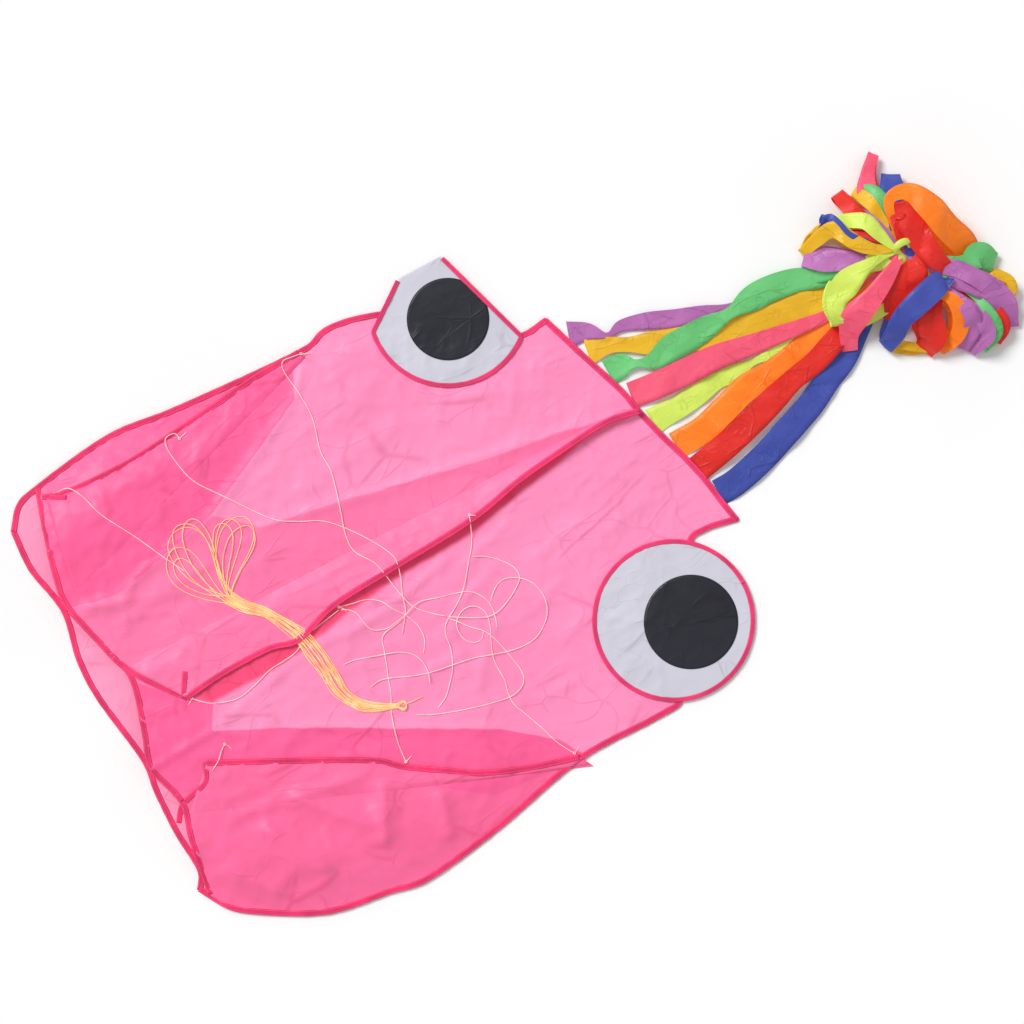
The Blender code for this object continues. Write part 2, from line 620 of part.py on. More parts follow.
def rear_point(near):
    """The point of the streamers' seam, just clear of the rear edge, that is nearest to a point."""
    along = rear_direction()
    start = (REAR_EDGE[0][0] + TAIL_SEAM_GAP + 0.001, REAR_EDGE[0][1])
    t = (near[0] - start[0]) * along[0] + (near[1] - start[1]) * along[1]
    return start[0] + along[0] * t, start[1] + along[1] * t


def make_lobe(name, degrees, reach):
    """The folded rest of one streamer: a rounded lobe that grows out of the knot."""
    angle = math.radians(degrees)
    out = Vector((math.cos(angle), math.sin(angle), 0))
    side = Vector((-math.sin(angle), math.cos(angle), 0))
    centre = Vector((*KNOT, 0))
    start = KNOT_RADIUS + 0.003
    sections = []
    for i in range(11):
        t = i / 10
        swell = math.sin(math.pi * min(0.97, 0.16 + 0.84 * t)) ** 0.6
        growth = ease(t * 1.7 + 0.1)
        radius = start + (reach - start) * t
        half_wide = min(LOBE_HALF_WIDTH * swell * (0.35 + 0.65 * growth), LOBE_SHARE * radius)
        half_high = LOBE_HEIGHT / 2 * swell * (0.45 + 0.55 * growth)
        base = 0.012 * (1 - growth)
        middle = centre + out * radius + Vector((0, 0, base + half_high + 0.0006))
        sections.append([
            middle + side * half_wide * math.cos(2 * math.pi * k / 10)
            + Vector((0, 0, half_high * math.sin(2 * math.pi * k / 10)))
            for k in range(10)
        ])
    loft(name + "_streamer_bundle", sections, COLOURS[name])


def make_tail():
    for layer, (name, route) in enumerate(STREAMERS.items()):
        make_streamer(name, route, layer)
    for name, (degrees, reach) in LOBES.items():
        make_lobe(name, degrees, reach)
    sections = []
    for i in range(7):
        lean = math.pi * (i + 0.7) / 7.4
        radius, z = KNOT_RADIUS * math.sin(lean), KNOT_HEIGHT - KNOT_RADIUS * 1.4 * math.cos(lean)
        sections.append([
            (KNOT[0] + radius * math.cos(math.pi * k / 6), KNOT[1] + radius * math.sin(math.pi * k / 6), z)
            for k in range(12)
        ])
    loft("bundle_tie", sections, COLOURS["lime"])


# Bridle


def resting_heights(line, layer):
    """Heights of a line laid over the kite: level over what is near, then smoothed."""
    tops = [surface_top(x, y) for x, y in line]
    window = max(1, round(0.015 / (length_of(line) / (len(line) - 1))))
    level = [max(tops[max(0, i - window):i + window + 1]) for i in range(len(tops))]
    soft = []
    for i in range(len(level)):
        near = level[max(0, i - window):i + window + 1]
        soft.append(max(sum(near) / len(near), tops[i]))
    return [z + 0.001 + LINE_WIDE / 2 + layer * LINE_PITCH for z in soft]


def make_line(name, layer, route):
    curve = smooth(route)
    count = min(LINE_POINTS, max(8, round(length_of(curve) / LINE_SPACING)))
    line = spaced(curve, count)
    heights = resting_heights(line, layer)
    data = bpy.data.curves.new(name, "CURVE")
    data.dimensions = "3D"
    data.bevel_depth = LINE_WIDE / 2
    data.bevel_resolution = 2
    data.use_fill_caps = True
    data.resolution_u = 1
    data.render_resolution_u = 0
    spline = data.splines.new("POLY")
    spline.points.add(count - 1)
    for point, (x, y), z in zip(spline.points, line, heights):
        point.co = (x, y, z, 1)
    data.materials.append(material(name + "_material", LINE_PINK, 0.6))
    bpy.context.collection.objects.link(bpy.data.objects.new(name, data))


def make_hank():
    """The gathered line: one closed solid with the outer shape of the hank."""
    stations = spaced(smooth(HANK), 34)
    line = [(x, y) for x, y, _ in stations]
    heights = resting_heights(line, HANK_LAYER)
    sections = []
    for i, (x, y, wide) in enumerate(stations):
        side = sideways(line, i)
        half = wide / 2
        z = heights[i]
        left = (x + side[0] * half, y + side[1] * half)
        right = (x - side[0] * half, y - side[1] * half)
        sections.append([(*left, z), (*right, z), (*right, z + HANK_THICK), (*left, z + HANK_THICK)])
    loft("bridle_hank", sections, HANK_CREAM, 0.6)
    end = spaced(smooth(HANK_END), 7)
    heights = resting_heights(end, HANK_LAYER)
    sections = []
    for i, (x, y) in enumerate(end):
        side = sideways(end, i)
        ring = []
        for k in range(8):
            angle = math.pi * (k + 0.5) / 4
            reach, z = HANK_END_WIDE / 2 * math.cos(angle), HANK_END_WIDE / 2 * math.sin(angle)
            ring.append((x + side[0] * reach, y + side[1] * reach, heights[i] + HANK_END_WIDE / 2 + z))
        sections.append(ring)
    loft("hank_tail", sections, HANK_CREAM, 0.6)


clear_scene()
make_body()
for rib, rib_corners in RIBS.items():
    make_rib(rib, rib_corners)
for keel_name, keel_shape in KEELS.items():
    make_keel(keel_name, keel_shape)
make_eye("left", LEFT_EYE, LEFT_PUPIL, True)
make_eye("right", RIGHT_EYE, RIGHT_PUPIL, False)
make_tail()
for line_name, (line_layer, line_route) in LINES.items():
    make_line(line_name, line_layer, line_route)
make_hank()
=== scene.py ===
"""Looks of the octopus kite: wrinkled nylon skins, hemmed keels, eyes, ribbons, bridle lines and stage.

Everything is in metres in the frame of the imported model: +X from the open mouth to the streamers,
+Y to the kite's left side as it lies belly up, +Z up from the floor. The tables of points are in
millimetres, because they are easier to read so, and metres() turns them into metres.
"""

import math
import random

import bpy
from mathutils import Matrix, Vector, noise
from mathutils.bvhtree import BVHTree


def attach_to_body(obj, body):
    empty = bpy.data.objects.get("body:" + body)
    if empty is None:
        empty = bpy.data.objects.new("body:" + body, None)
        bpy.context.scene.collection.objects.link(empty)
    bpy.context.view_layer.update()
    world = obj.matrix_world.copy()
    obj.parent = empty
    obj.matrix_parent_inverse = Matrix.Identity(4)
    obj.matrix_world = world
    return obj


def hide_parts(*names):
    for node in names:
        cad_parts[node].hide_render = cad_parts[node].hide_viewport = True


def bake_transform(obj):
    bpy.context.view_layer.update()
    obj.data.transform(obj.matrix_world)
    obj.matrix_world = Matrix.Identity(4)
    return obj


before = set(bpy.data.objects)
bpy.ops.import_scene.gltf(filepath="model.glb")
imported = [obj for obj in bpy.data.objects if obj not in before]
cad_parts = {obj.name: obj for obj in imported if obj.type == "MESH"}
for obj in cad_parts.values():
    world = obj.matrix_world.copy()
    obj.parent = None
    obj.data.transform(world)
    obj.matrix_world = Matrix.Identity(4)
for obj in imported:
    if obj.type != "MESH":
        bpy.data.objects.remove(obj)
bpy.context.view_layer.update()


def metres(points):
    """Points given in millimetres, in metres."""
    return [tuple(n / 1000 for n in point) for point in points]


# View
VIEW_CENTRE = (-0.069, 0.019)
VIEW_WIDTH = 1.536
VIEW_TURN = -27.97  # degrees, about the vertical
LENS = 90.0
SENSOR = 36.0

# Cloth, tape and line
CLOTH = 0.0003
TAPE_WIDTH = 0.009
TAPE_THICK = 0.0012
LINE = 0.0012
GAP = 0.0004  # between a piece and the one it lies on
RIBBON_WIDTH = 0.042
HIGHEST = 0.073  # nothing in the bundle stands taller
DOWN = Vector((0, 0, -1))

# Puff of the collapsed body, as in the frame
MOUTH_HEIGHT = 0.022
REAR_HEIGHT = 0.003
EDGE_SHOULDER = 0.11
MOUTH_X = -0.75
FLAT_X = -0.05
BACK_TOP = 0.0014

MOUTH = metres([
    (-747, 345), (-750, 282), (-736, 204), (-750, 130), (-751, 63), (-735, -48), (-740, -102),
    (-742, -171), (-738, -235), (-752, -262),
])
LEFT_SIDE = metres([
    (-747, 345), (-720, 377), (-680, 388), (-550, 405), (-440, 394), (-240, 383), (-190, 394), (-130, 385),
    (-60, 355), (20, 290), (64, 250), (112, 252),
])
RIGHT_SIDE = metres([
    (-752, -262), (-730, -299), (-700, -327), (-600, -382), (-500, -400), (-437, -410), (-310, -392),
    (-154, -358), (-20, -357), (30, -345), (85, -250), (143, -152), (178, -142), (226, -151),
])
REAR = metres([
    (112, 252), (138, 176), (163, 106), (173, 62), (187, 12), (202, -34), (213, -78), (219, -115),
    (226, -151),
])
LIP = metres([
    (-684, 386), (-704, 312), (-718, 257), (-724, 206), (-701, 112), (-690, 62), (-712, -17), (-727, -67),
    (-710, -131), (-724, -190), (-741, -275),
])

# Keels: the seam that each one folds about, its free edge from front to rear, and its rise
KEELS = {
    "left_keel": {
        "body": "left_keel", "tone": "dark", "rise": 0.002,
        "seam": metres([(-706, 205), (-234, 368)]),
        "edge": metres([
            (-676, 367), (-643, 358), (-540, 354), (-414, 366), (-318, 378), (-240, 381),
        ]),
    },
    "middle_keel": {
        "body": "kite_body", "tone": "mid", "rise": 0.01,
        "seam": metres([(-690, 90), (150, 78)]),
        "edge": metres([
            (-629, 2), (-562, 9), (-485, 9), (-440, 0), (-369, 21), (-272, 28), (-131, 37), (-36, 56),
            (36, 65), (117, 72), (172, 63),
        ]),
    },
    "right_keel": {
        "body": "right_keel", "tone": "flap", "rise": 0.001,
        "seam": metres([(-712, -158), (-140, -376)]),
        "edge": metres([
            (-648, -98), (-525, -160), (-427, -212), (-391, -242), (-336, -278), (-291, -306),
            (-227, -332), (-152, -353),
        ]),
    },
}

# Parts of the belly where one or two more layers of cloth show through, darker with each layer; the deepest
# band is also the painted shadow of the middle keel's raised hem
LAYERS = {
    "layer_mid": [
        metres([
            (173, 62), (51, 91), (-45, 103), (-183, 131), (-305, 157), (-412, 176), (-469, 226),
            (-648, 186), (-760, 209), (-760, 90), (-629, 2), (-440, 0), (-272, 28), (-36, 56),
        ]),
    ],
    "layer_flap": [
        metres([
            (-660, -105), (-427, -212), (-336, -278), (-152, -353), (-60, -420), (-420, -460),
            (-800, -330), (-800, -158),
        ]),
    ],
    "layer_dark": [
        metres([
            (-760, 210), (-648, 186), (-469, 226), (-278, 320), (-234, 420), (-760, 440),
        ]),
        metres([
            (-618, -61), (-515, -109), (-238, -260), (-166, -317), (-140, -360), (-291, -345),
            (-427, -242), (-660, -129),
        ]),
        metres([
            (-629, 2), (-589, -7), (-618, -61), (-660, -129), (-760, -110), (-727, -67), (-690, 62),
        ]),
    ],
    # Painted shadow: the band just beyond the middle keel's hem, where its raised edge shades the belly, over
    # more layers of cloth
    "deep_layers_and_hem_shadow": [
        metres([
            (-625, 12), (-485, 20), (-440, 10), (-369, 30), (-272, 36), (-131, 45), (-36, 64), (36, 72),
            (117, 78), (36, 52), (-36, 40), (-131, 19), (-272, 12), (-360, 0), (-447, -18), (-515, -24),
            (-600, -22),
        ]),
    ],
}

# Folds of the belly: x and y of both ends, height and half width
FOLDS = [
    (-700, 192, -630, 170, 3.0, 9), (-648, 186, -469, 226, 2.5, 8), (-469, 226, -278, 320, 2.5, 7),
    (-278, 320, -236, 372, 2.0, 6), (-660, 150, -500, 165, 1.6, 12), (-412, 176, -183, 131, 1.8, 9),
    (-183, 131, 51, 91, 1.8, 9), (51, 91, 160, 66, 1.5, 7), (-330, 200, -150, 215, 1.2, 14),
    (-120, 170, -60, 250, 1.0, 8), (0, 150, 30, 205, 1.0, 8), (-250, 260, -140, 300, 1.2, 12),
    (-60, 210, 60, 160, 1.0, 12), (-618, -61, -596, -20, 2.4, 4), (-618, -61, -728, -67, 2.2, 5),
    (-618, -61, -575, -92, 1.6, 4), (-618, -61, -430, -20, 1.5, 6), (-430, -20, -270, -30, 1.4, 7),
    (-515, -109, -238, -260, 1.8, 7), (-375, -30, -230, -10, 1.2, 6), (-300, -20, -180, 4, 1.1, 6),
    (-220, -70, -120, -40, 1.4, 7), (-180, -20, -70, 10, 1.1, 6), (-260, -110, -190, -70, 1.2, 8),
    (-240, -190, -170, -120, 1.3, 9), (-120, -130, -50, -105, 1.2, 8), (-80, -60, 20, -40, 1.0, 9),
    (-100, -190, -30, -170, 1.2, 8), (-310, -140, -230, -130, 1.0, 8), (-160, -250, -90, -250, 1.3, 9),
    (-60, -90, 120, -60, 0.9, 12), (20, -20, 150, 10, 0.9, 10), (60, 20, 160, -50, 0.8, 10),
    (-560, -200, -470, -300, 5.5, 14), (-430, -250, -470, -330, 6.0, 14),
    (-620, -220, -560, -330, 4.5, 15), (-650, -190, -450, -225, 2.4, 9), (-360, -300, -380, -370, 4.0, 13),
    (-700, -250, -640, -330, 3.5, 14), (-250, -340, -100, -352, 1.6, 7), (-600, 330, -400, 300, 1.4, 16),
    (-560, 260, -350, 340, 1.4, 14), (-640, 300, -604, 298, 1.6, 5), (-604, 298, -600, 340, 1.6, 5),
    (-500, 240, -420, 340, 1.0, 12),
]
FOLD_LINES = [(*(n / 1000 for n in fold[:4]), *fold[4:]) for fold in FOLDS]
FOLD_GAIN = 1.8

# Hems that show at the open mouth besides the lip's own
FRONT_HEMS = {
    "front_hem_keel": metres([(-727, 200), (-705, 123), (-677, 64), (-653, 30), (-629, 2)]),
    "front_hem_stub": metres([(-632, 4), (-622, 22), (-612, 38)]),
    "front_hem_tab": metres([(-681, 370), (-665, 360), (-648, 351)]),
    "front_hem_right": metres([(-650, -97), (-662.5, -122.6), (-692, -130.6), (-716, -140), (-731, -159)]),
    "front_hem_fold": metres([(-729.7, -70), (-718, -101), (-706.4, -131.5)]),
}

# Eyes
EYE_RADIUS = 0.119
PUPIL_RADII = {"left": 0.062, "right": 0.071}
LEFT_EYE = (-0.009, 0.337)
RIGHT_EYE = (0.069, -0.239)
LEFT_PUPIL = (-0.018, 0.320)
RIGHT_PUPIL = (0.091, -0.253)
LEFT_EYE_TOP = 0.409  # the left eye is folded under along this line
LEFT_EYE_BACK = [(0.064, 0.255), (0.015, 0.411)]  # and along these two
LEFT_EYE_FRONT = [(-0.0565, 0.407), (-0.130, 0.353)]
EYE_LIFT = 0.00096  # of the white above the belly
EYE_SIDES = 150

# Streamers: the layer where they cross, and x, y and the width seen from above along the middle
STREAMERS = {
    "purple": (0, metres([
        (131, 215, 40), (159, 205, 26), (182, 186, 8), (207, 189, 18), (243, 178, 26), (281, 162, 28),
        (324, 148, 24), (361, 134, 20), (402, 125, 24), (444, 116, 27), (476, 110, 24), (528, 94, 20),
        (590, 96, 12),
    ])),
    "gold": (1, metres([
        (144, 178, 40), (175, 173, 26), (202, 160, 22), (232, 146, 34), (266, 132, 38), (308, 118, 41),
        (354, 107, 40), (401, 98, 38), (451, 92, 40), (495, 82, 40), (544, 75, 28), (600, 88, 14),
    ])),
    "green": (2, metres([
        (157, 136, 41), (182, 136, 36), (201, 128, 12), (226, 120, 27), (258, 125, 40), (291, 125, 41),
        (323, 127, 34), (359, 129, 18), (396, 133, 38), (431, 133, 40), (472, 126, 36), (511, 110, 28),
        (590, 96, 14),
    ])),
    "rose": (2, metres([
        (171, 90, 40), (211, 85, 41), (262, 82, 41), (312, 80, 38), (359, 73, 33), (401, 67, 28),
        (449, 61, 22), (501, 58, 18), (590, 78, 14),
    ])),
    "lime": (0, metres([
        (181, 40, 41), (202, 41, 36), (228, 41, 33), (259, 45, 34), (296, 49, 26), (325, 47, 26),
        (357, 48, 10), (387, 47, 16), (416, 55, 16), (443, 62, 12), (492, 60, 12), (590, 80, 12),
    ])),
    "orange": (1, metres([
        (195, -8, 41), (242, -6, 41), (282, 5, 41), (329, 19, 41), (370, 21, 38), (406, 27, 36),
        (446, 38, 30), (492, 46, 18), (580, 70, 14),
    ])),
    "red": (2, metres([
        (208, -55, 41), (256, -45, 41), (305, -32, 41), (350, -18, 40), (396, -4, 33), (437, 4, 34),
        (476, 18, 34), (519, 38, 24), (585, 70, 14),
    ])),
    "blue": (0, metres([
        (219, -101, 41), (251, -99, 41), (303, -86, 41), (353, -68, 41), (403, -49, 40), (442, -29, 38),
        (478, -12, 38), (510, 10, 34), (585, 62, 16),
    ])),
}

# Bundle: ribbon loops out of the knot, with x, y, width seen from above and height along each
KNOT = (0.627, 0.096, 0.050)
LOOPS = [
    ("rose", [(625, 110, 12, 36), (622, 182, 33, 30), (638, 216, 21, 20), (660, 237, 3, 14)]),
    ("blue", [(630, 120, 12, 34), (645, 161, 30, 34), (659, 182, 35, 30), (669, 198, 24, 18)]),
    ("green", [(626, 110, 9, 38), (630, 152, 30, 40), (626, 181, 35, 36), (615, 194, 18, 22)]),
    ("red", [(620, 104, 10, 38), (602, 138, 18, 44), (589, 178, 26, 42), (585, 208, 18, 24)]),
    ("blue", [
        (616, 102, 9, 44), (586, 125, 10, 50), (567, 148, 8, 54), (561, 172, 7, 52), (553, 187, 7, 44),
        (540, 178, 6, 30),
    ]),
    ("gold", [(624, 112, 9, 42), (619, 163, 18, 44), (614, 186, 21, 38), (609, 199, 12, 24)]),
    ("purple", [(613, 97, 9, 40), (558, 112, 24, 40), (523, 131, 36, 32), (499, 149, 27, 16)]),
    ("green", [(611, 92, 9, 34), (558, 100, 21, 32), (519, 111, 21, 24), (497, 116, 12, 12)]),
    ("red", [(620, 100, 9, 46), (594, 129, 13, 50), (571, 144, 14, 46), (558, 158, 8, 40)]),
    ("purple", [(621, 103, 9, 48), (610, 134, 18, 52), (603, 156, 18, 48), (599, 170, 9, 38)]),
    ("gold", [
        (618, 98, 9, 50), (588, 112, 17, 54), (567, 136, 24, 54), (550, 166, 24, 48), (522, 164, 21, 34),
        (500, 158, 10, 16),
    ]),
    ("lime", [
        (617, 98, 8, 52), (605, 128, 20, 58), (596, 153, 24, 58), (578, 166, 22, 48), (565, 174, 12, 34),
    ]),
    ("lime", [(625, 85, 14, 48), (594, 91, 28, 46), (561, 99, 20, 34)]),
    ("green", [
        (634, 87, 9, 40), (673, 49, 15, 42), (700, 30, 26, 40), (726, 30, 42, 34), (742, 12, 30, 16),
    ]),
    ("blue", [(626, 103, 10, 40), (637, 131, 22, 44), (648, 157, 14, 44)]),
    ("orange", [
        (629, 105, 9, 46), (639, 163, 16, 60), (671, 163, 26, 66), (689, 126, 40, 66), (699, 90, 42, 58),
        (712, 62, 42, 42), (718, 36, 33, 20),
    ]),
    ("red", [
        (629, 100, 12, 50), (646, 145, 28, 60), (654, 119, 40, 60), (655, 88, 36, 58), (665, 49, 30, 50),
        (676, 22, 14, 34),
    ]),
    ("gold", [
        (674, 20, 10, 26), (710, -7, 14, 30), (737, -8, 14, 28), (751, -24, 14, 26), (747, -41, 14, 22),
        (730, -43, 10, 18),
    ]),
    ("purple", [
        (640, 67, 12, 36), (668, 23, 26, 40), (704, -6, 40, 40), (724, -47, 42, 32), (719, -83, 30, 12),
    ]),
    ("purple", [
        (630, 79, 12, 38), (657, 51, 22, 44), (690, 23, 26, 46), (715, -17, 26, 42), (732, -62, 18, 18),
    ]),
    ("red", [(677, 8, 12, 24), (703, -39, 21, 30), (709, -76, 27, 26), (693, -92, 18, 12)]),
    ("green", [(685, -8, 9, 36), (698, -49, 16, 42), (697, -82, 20, 32), (675, -94, 13, 12)]),
    ("purple", [(666, 2, 12, 34), (683, -48, 22, 44), (681, -80, 25, 34), (655, -89, 15, 12)]),
    ("purple", [(655, 15, 12, 40), (670, -27, 22, 50), (668, -57, 28, 42), (644, -80, 22, 14)]),
    ("red", [
        (651, 22, 15, 30), (627, 1, 36, 40), (614, -18, 42, 44), (609, -46, 39, 32), (593, -56, 21, 10),
    ]),
    ("orange", [
        (641, 19, 12, 44), (656, -9, 20, 54), (657, -37, 25, 48), (642, -60, 23, 30), (615, -67, 15, 10),
    ]),
    ("gold", [(570, 5, 10, 10), (552, -20, 14, 12), (575, -42, 14, 12), (600, -60, 10, 8)]),
    ("red", [(634, 87, 12, 44), (632, 54, 29, 50), (611, 27, 24, 44), (590, 12, 12, 24)]),
    ("red", [(630, 86, 12, 42), (610, 61, 28, 44), (583, 33, 30, 38), (570, 2, 20, 16)]),
    ("gold", [(632, 83, 9, 46), (640, 58, 14, 48), (640, 35, 12, 44)]),
    ("orange", [(614, 81, 9, 34), (562, 69, 28, 26), (514, 52, 26, 18), (494, 38, 16, 10)]),
    ("lime", [(600, 34, 10, 26), (566, 26, 17, 28), (538, 24, 17, 22), (514, 24, 12, 10)]),
    ("rose", [
        (619, 85, 11, 48), (589, 67, 23, 52), (553, 49, 32, 48), (518, 35, 42, 38), (501, 17, 30, 24),
        (494, -1, 7, 12),
    ]),
    ("lime", [(612, 94, 7, 50), (572, 95, 18, 52), (531, 86, 41, 48), (505, 69, 30, 40), (496, 42, 5, 30)]),
    ("blue", [
        (664, 30, 20, 40), (648, 22, 36, 58), (604, 10, 37, 62), (576, 0, 32, 50), (560, -14, 32, 34),
        (546, -22, 12, 18),
    ]),
]
FILL_LOOPS = 2  # inner loops of each colour that fill the bundle

# Bridle: routes of the lines, as in the frame
LINES = {
    "line_left_front": metres([
        (-662.5, 365), (-640, 362.5), (-625, 340), (-612.5, 302.5), (-585, 252.5), (-560, 202.5),
        (-542.5, 170),
    ]),
    "line_left_middle": metres([
        (-457.5, 350), (-460, 360), (-475, 360), (-480, 347.5), (-477.5, 320), (-467.5, 282.5),
        (-437.5, 240), (-392.5, 180), (-360, 157.5), (-322.5, 137.5), (-287.5, 97.5), (-260, 52.5),
        (-257.5, 27.5), (-272.5, -15), (-280, -37.5), (-300, -65),
    ]),
    "line_left_rear": metres([
        (-237.5, 377.5), (-255, 380), (-267.5, 380), (-272.5, 365), (-267.5, 325), (-267.5, 282.5),
        (-280, 235), (-280, 200), (-292.5, 150), (-305, 107.5), (-305, 77.5), (-285, 45), (-277.5, 5),
        (-270, -27.5), (-262.5, -42.5), (-245, -60), (-230, -72.5),
    ]),
    "line_middle_front": metres([
        (-622.5, -2.5), (-610, -15), (-595, -25), (-562.5, -35), (-532.5, -30), (-500, -20), (-455, -15),
        (-425, 0), (-367.5, 11),
    ]),
    "line_middle_centre": metres([
        (-365, 15), (-345, 10), (-322.5, 5), (-305, -7.5), (-295, -25), (-282.5, -42.5), (-275, -60),
        (-272.5, -72.5), (-275, -90), (-285, -105),
    ]),
    "line_middle_slack": metres([
        (-364, 10), (-352.5, 3), (-345, -8), (-342.5, -22.5), (-338, -37), (-327.5, -44), (-315, -47.5),
        (-302.5, -45.5), (-285, -43), (-270, -37.5), (-252.5, -35), (-227.5, -42.5), (-197.5, -50),
        (-180, -57.5), (-167.5, -72.5), (-162.5, -90), (-165, -107.5), (-169.5, -123),
    ]),
    "line_middle_rear": metres([
        (-127.5, 45), (-132, 33), (-145, 5), (-162.5, -17.5), (-180, -40), (-197.5, -57.5), (-212.5, -68),
        (-228, -77), (-238.5, -86.5), (-243.5, -98.5), (-245, -112.5), (-250, -130), (-260, -150),
        (-275, -167.5), (-287.5, -180), (-304, -188),
    ]),
    "line_right_front": metres([(-611, -86), (-621.5, -94), (-631, -103.5), (-645, -112)]),
    "line_right_middle": metres([
        (-385, -237), (-382.5, -210), (-377.5, -187.5), (-370, -162.5), (-357.5, -137.5), (-350, -115),
        (-342.5, -95), (-335, -72.5), (-330, -57.5), (-321, -51.5), (-309, -49.5), (-291, -46.5),
    ]),
    "line_right_rear": metres([
        (-156, -345), (-162.5, -335), (-172.5, -315), (-182.5, -285), (-192.5, -260), (-201.5, -237.5),
        (-201.5, -217.5), (-197, -200), (-197.5, -180), (-196, -160), (-187.5, -137.5), (-177.5, -115),
        (-175, -95), (-184, -80), (-200, -76), (-215.5, -83), (-223.5, -97.5), (-221.5, -116.5),
        (-210.5, -127.5), (-198.5, -128), (-190, -118),
    ]),
    "tow_line": metres([
        (-227, -78.5), (-217.5, -88.5), (-205, -104), (-191, -117.5), (-182.5, -132.5), (-176.5, -152.5),
        (-172, -175), (-168.5, -195), (-170.5, -210), (-179, -219.5), (-195, -224.5), (-212.5, -223.5),
        (-232.5, -219.5), (-252.5, -214.5), (-285, -205), (-317.5, -193), (-338, -182),
    ]),
    "line_loop_upper": metres([
        (-226, -75.5), (-210, -85), (-190, -96.5), (-172.5, -103), (-155, -102.5), (-134, -94.5),
        (-119, -85.5), (-106.5, -75.5), (-103.5, -62.5), (-110, -47.5), (-122.5, -32.5), (-137.5, -20),
        (-152.5, -12.5),
    ]),
    "line_loop_lower": metres([
        (-160, -84.5), (-149.5, -73.5), (-136, -65.5), (-121.5, -65.5), (-104.5, -74.5), (-91.5, -90),
        (-86, -110), (-88.5, -128.5), (-97.5, -145), (-114.5, -159), (-135, -166.5), (-165, -164.5),
        (-195, -156), (-225, -147), (-256.5, -141.5), (-290, -136), (-317.5, -127.5), (-342.5, -117),
        (-362, -111), (-379, -113.5),
    ]),
    "line_hank_slack": metres([
        (-399, -64.5), (-381, -66.5), (-362.5, -72), (-345, -77.5), (-327.5, -83), (-311, -91),
        (-298.5, -102.5), (-292.5, -117.5), (-292.5, -135), (-297.5, -148.5),
    ]),
}
BLENDED_LINES = {  # lines tied to a folding keel, and where along them the bend lies
    "line_left_front": ("left_keel", (-0.575, 0.235), (-0.615, 0.315)),
    "line_left_middle": ("left_keel", (-0.455, 0.270), (-0.478, 0.330)),
    "line_left_rear": ("left_keel", (-0.268, 0.320), (-0.260, 0.366)),
    "line_right_middle": ("right_keel", (-0.374, -0.180), (-0.385, -0.232)),
    "line_right_rear": ("right_keel", (-0.190, -0.265), (-0.160, -0.338)),
}
# Middle line of the hank from its loops to its knot, and half its width
HANK = metres([
    (-503, 104, 10), (-489, 82, 9), (-462, 55, 7), (-437, 8, 11), (-428, -32, 13), (-424, -68, 12),
    (-421, -100, 9), (-407, -127, 8), (-387, -143, 6), (-357, -157, 3),
])
HANK_LEAN = 0.012  # the loops lean over to the kite's mouth where they leave the hank
HANK_LOOPS = [  # heading of each loop at the front in degrees, its reach and half its width
    (112, 0.112, 0.022), (62, 0.118, 0.018), (104, 0.126, 0.027), (54, 0.122, 0.023), (96, 0.134, 0.022),
    (68, 0.110, 0.014), (118, 0.098, 0.016), (49, 0.108, 0.018), (89, 0.132, 0.018),
]
HANK_END = [(-0.357, -0.157), (-0.340, -0.161), (-0.318, -0.1625)]

# Colours, linear
PINK = (0.97, 0.282, 0.515)
MID_PINK = (0.97, 0.192, 0.400)
DARK_PINK = (0.97, 0.122, 0.325)
# Deepest pink: painted shadow of the middle keel's hem, over the layers there
DEEP_LAYER_SHADOW_PINK = (0.93, 0.072, 0.200)
FLAP_PINK = (0.97, 0.150, 0.345)
PALE_PINK = (0.97, 0.330, 0.540)
TAPE_PINK = (0.84, 0.030, 0.145)
WHITE = (0.62, 0.61, 0.69)
BLACK = (0.020, 0.020, 0.031)
LINE_PINK = (0.99, 0.80, 0.72)
CREAM = (0.99, 0.74, 0.37)
RIBBONS = {
    "purple": (0.50, 0.17, 0.46), "gold": (0.82, 0.50, 0.02), "green": (0.16, 0.58, 0.20),
    "rose": (0.88, 0.11, 0.20), "lime": (0.68, 0.82, 0.14), "orange": (0.99, 0.26, 0.015),
    "red": (0.76, 0.025, 0.016), "blue": (0.055, 0.085, 0.40),
}

# Plane geometry


def between(a, b, t):
    return tuple(p + (q - p) * t for p, q in zip(a, b))


def length_of(line):
    return sum(math.dist(a, b) for a, b in zip(line, line[1:]))


def spaced(line, count):
    """That many points at even steps along a line of points."""
    total = length_of(line)
    found = []
    passed, i = 0.0, 0
    for k in range(count):
        target = total * k / (count - 1)
        while i < len(line) - 2 and passed + math.dist(line[i], line[i + 1]) < target:
            passed += math.dist(line[i], line[i + 1])
            i += 1
        step = math.dist(line[i], line[i + 1])
        found.append(between(line[i], line[i + 1], min(1.0, (target - passed) / step)))
    return found


def smooth(line, steps=8):
    """A Catmull-Rom curve through the points of a line."""
    ends = [between(line[1], line[0], 2.0), *line, between(line[-2], line[-1], 2.0)]
    curve = []
    for a, b, c, d in zip(ends, ends[1:], ends[2:], ends[3:]):
        for k in range(steps):
            t = k / steps
            curve.append(tuple(
                0.5 * (2 * q + (r - p) * t + (2 * p - 5 * q + 4 * r - s) * t * t
                       + (3 * q - p - 3 * r + s) * t ** 3)
                for p, q, r, s in zip(a, b, c, d)
            ))
    return curve + [line[-1]]


def fine(line, step):
    curve = smooth(line)
    return spaced(curve, max(3, round(length_of(curve) / step) + 1))


def sideways(line, i):
    """Unit vector to the left of a line's direction at one of its points."""
    a = line[max(0, i - 1)]
    b = line[min(len(line) - 1, i + 1)]
    dx, dy = b[0] - a[0], b[1] - a[1]
    size = math.hypot(dx, dy) or 1.0
    return -dy / size, dx / size


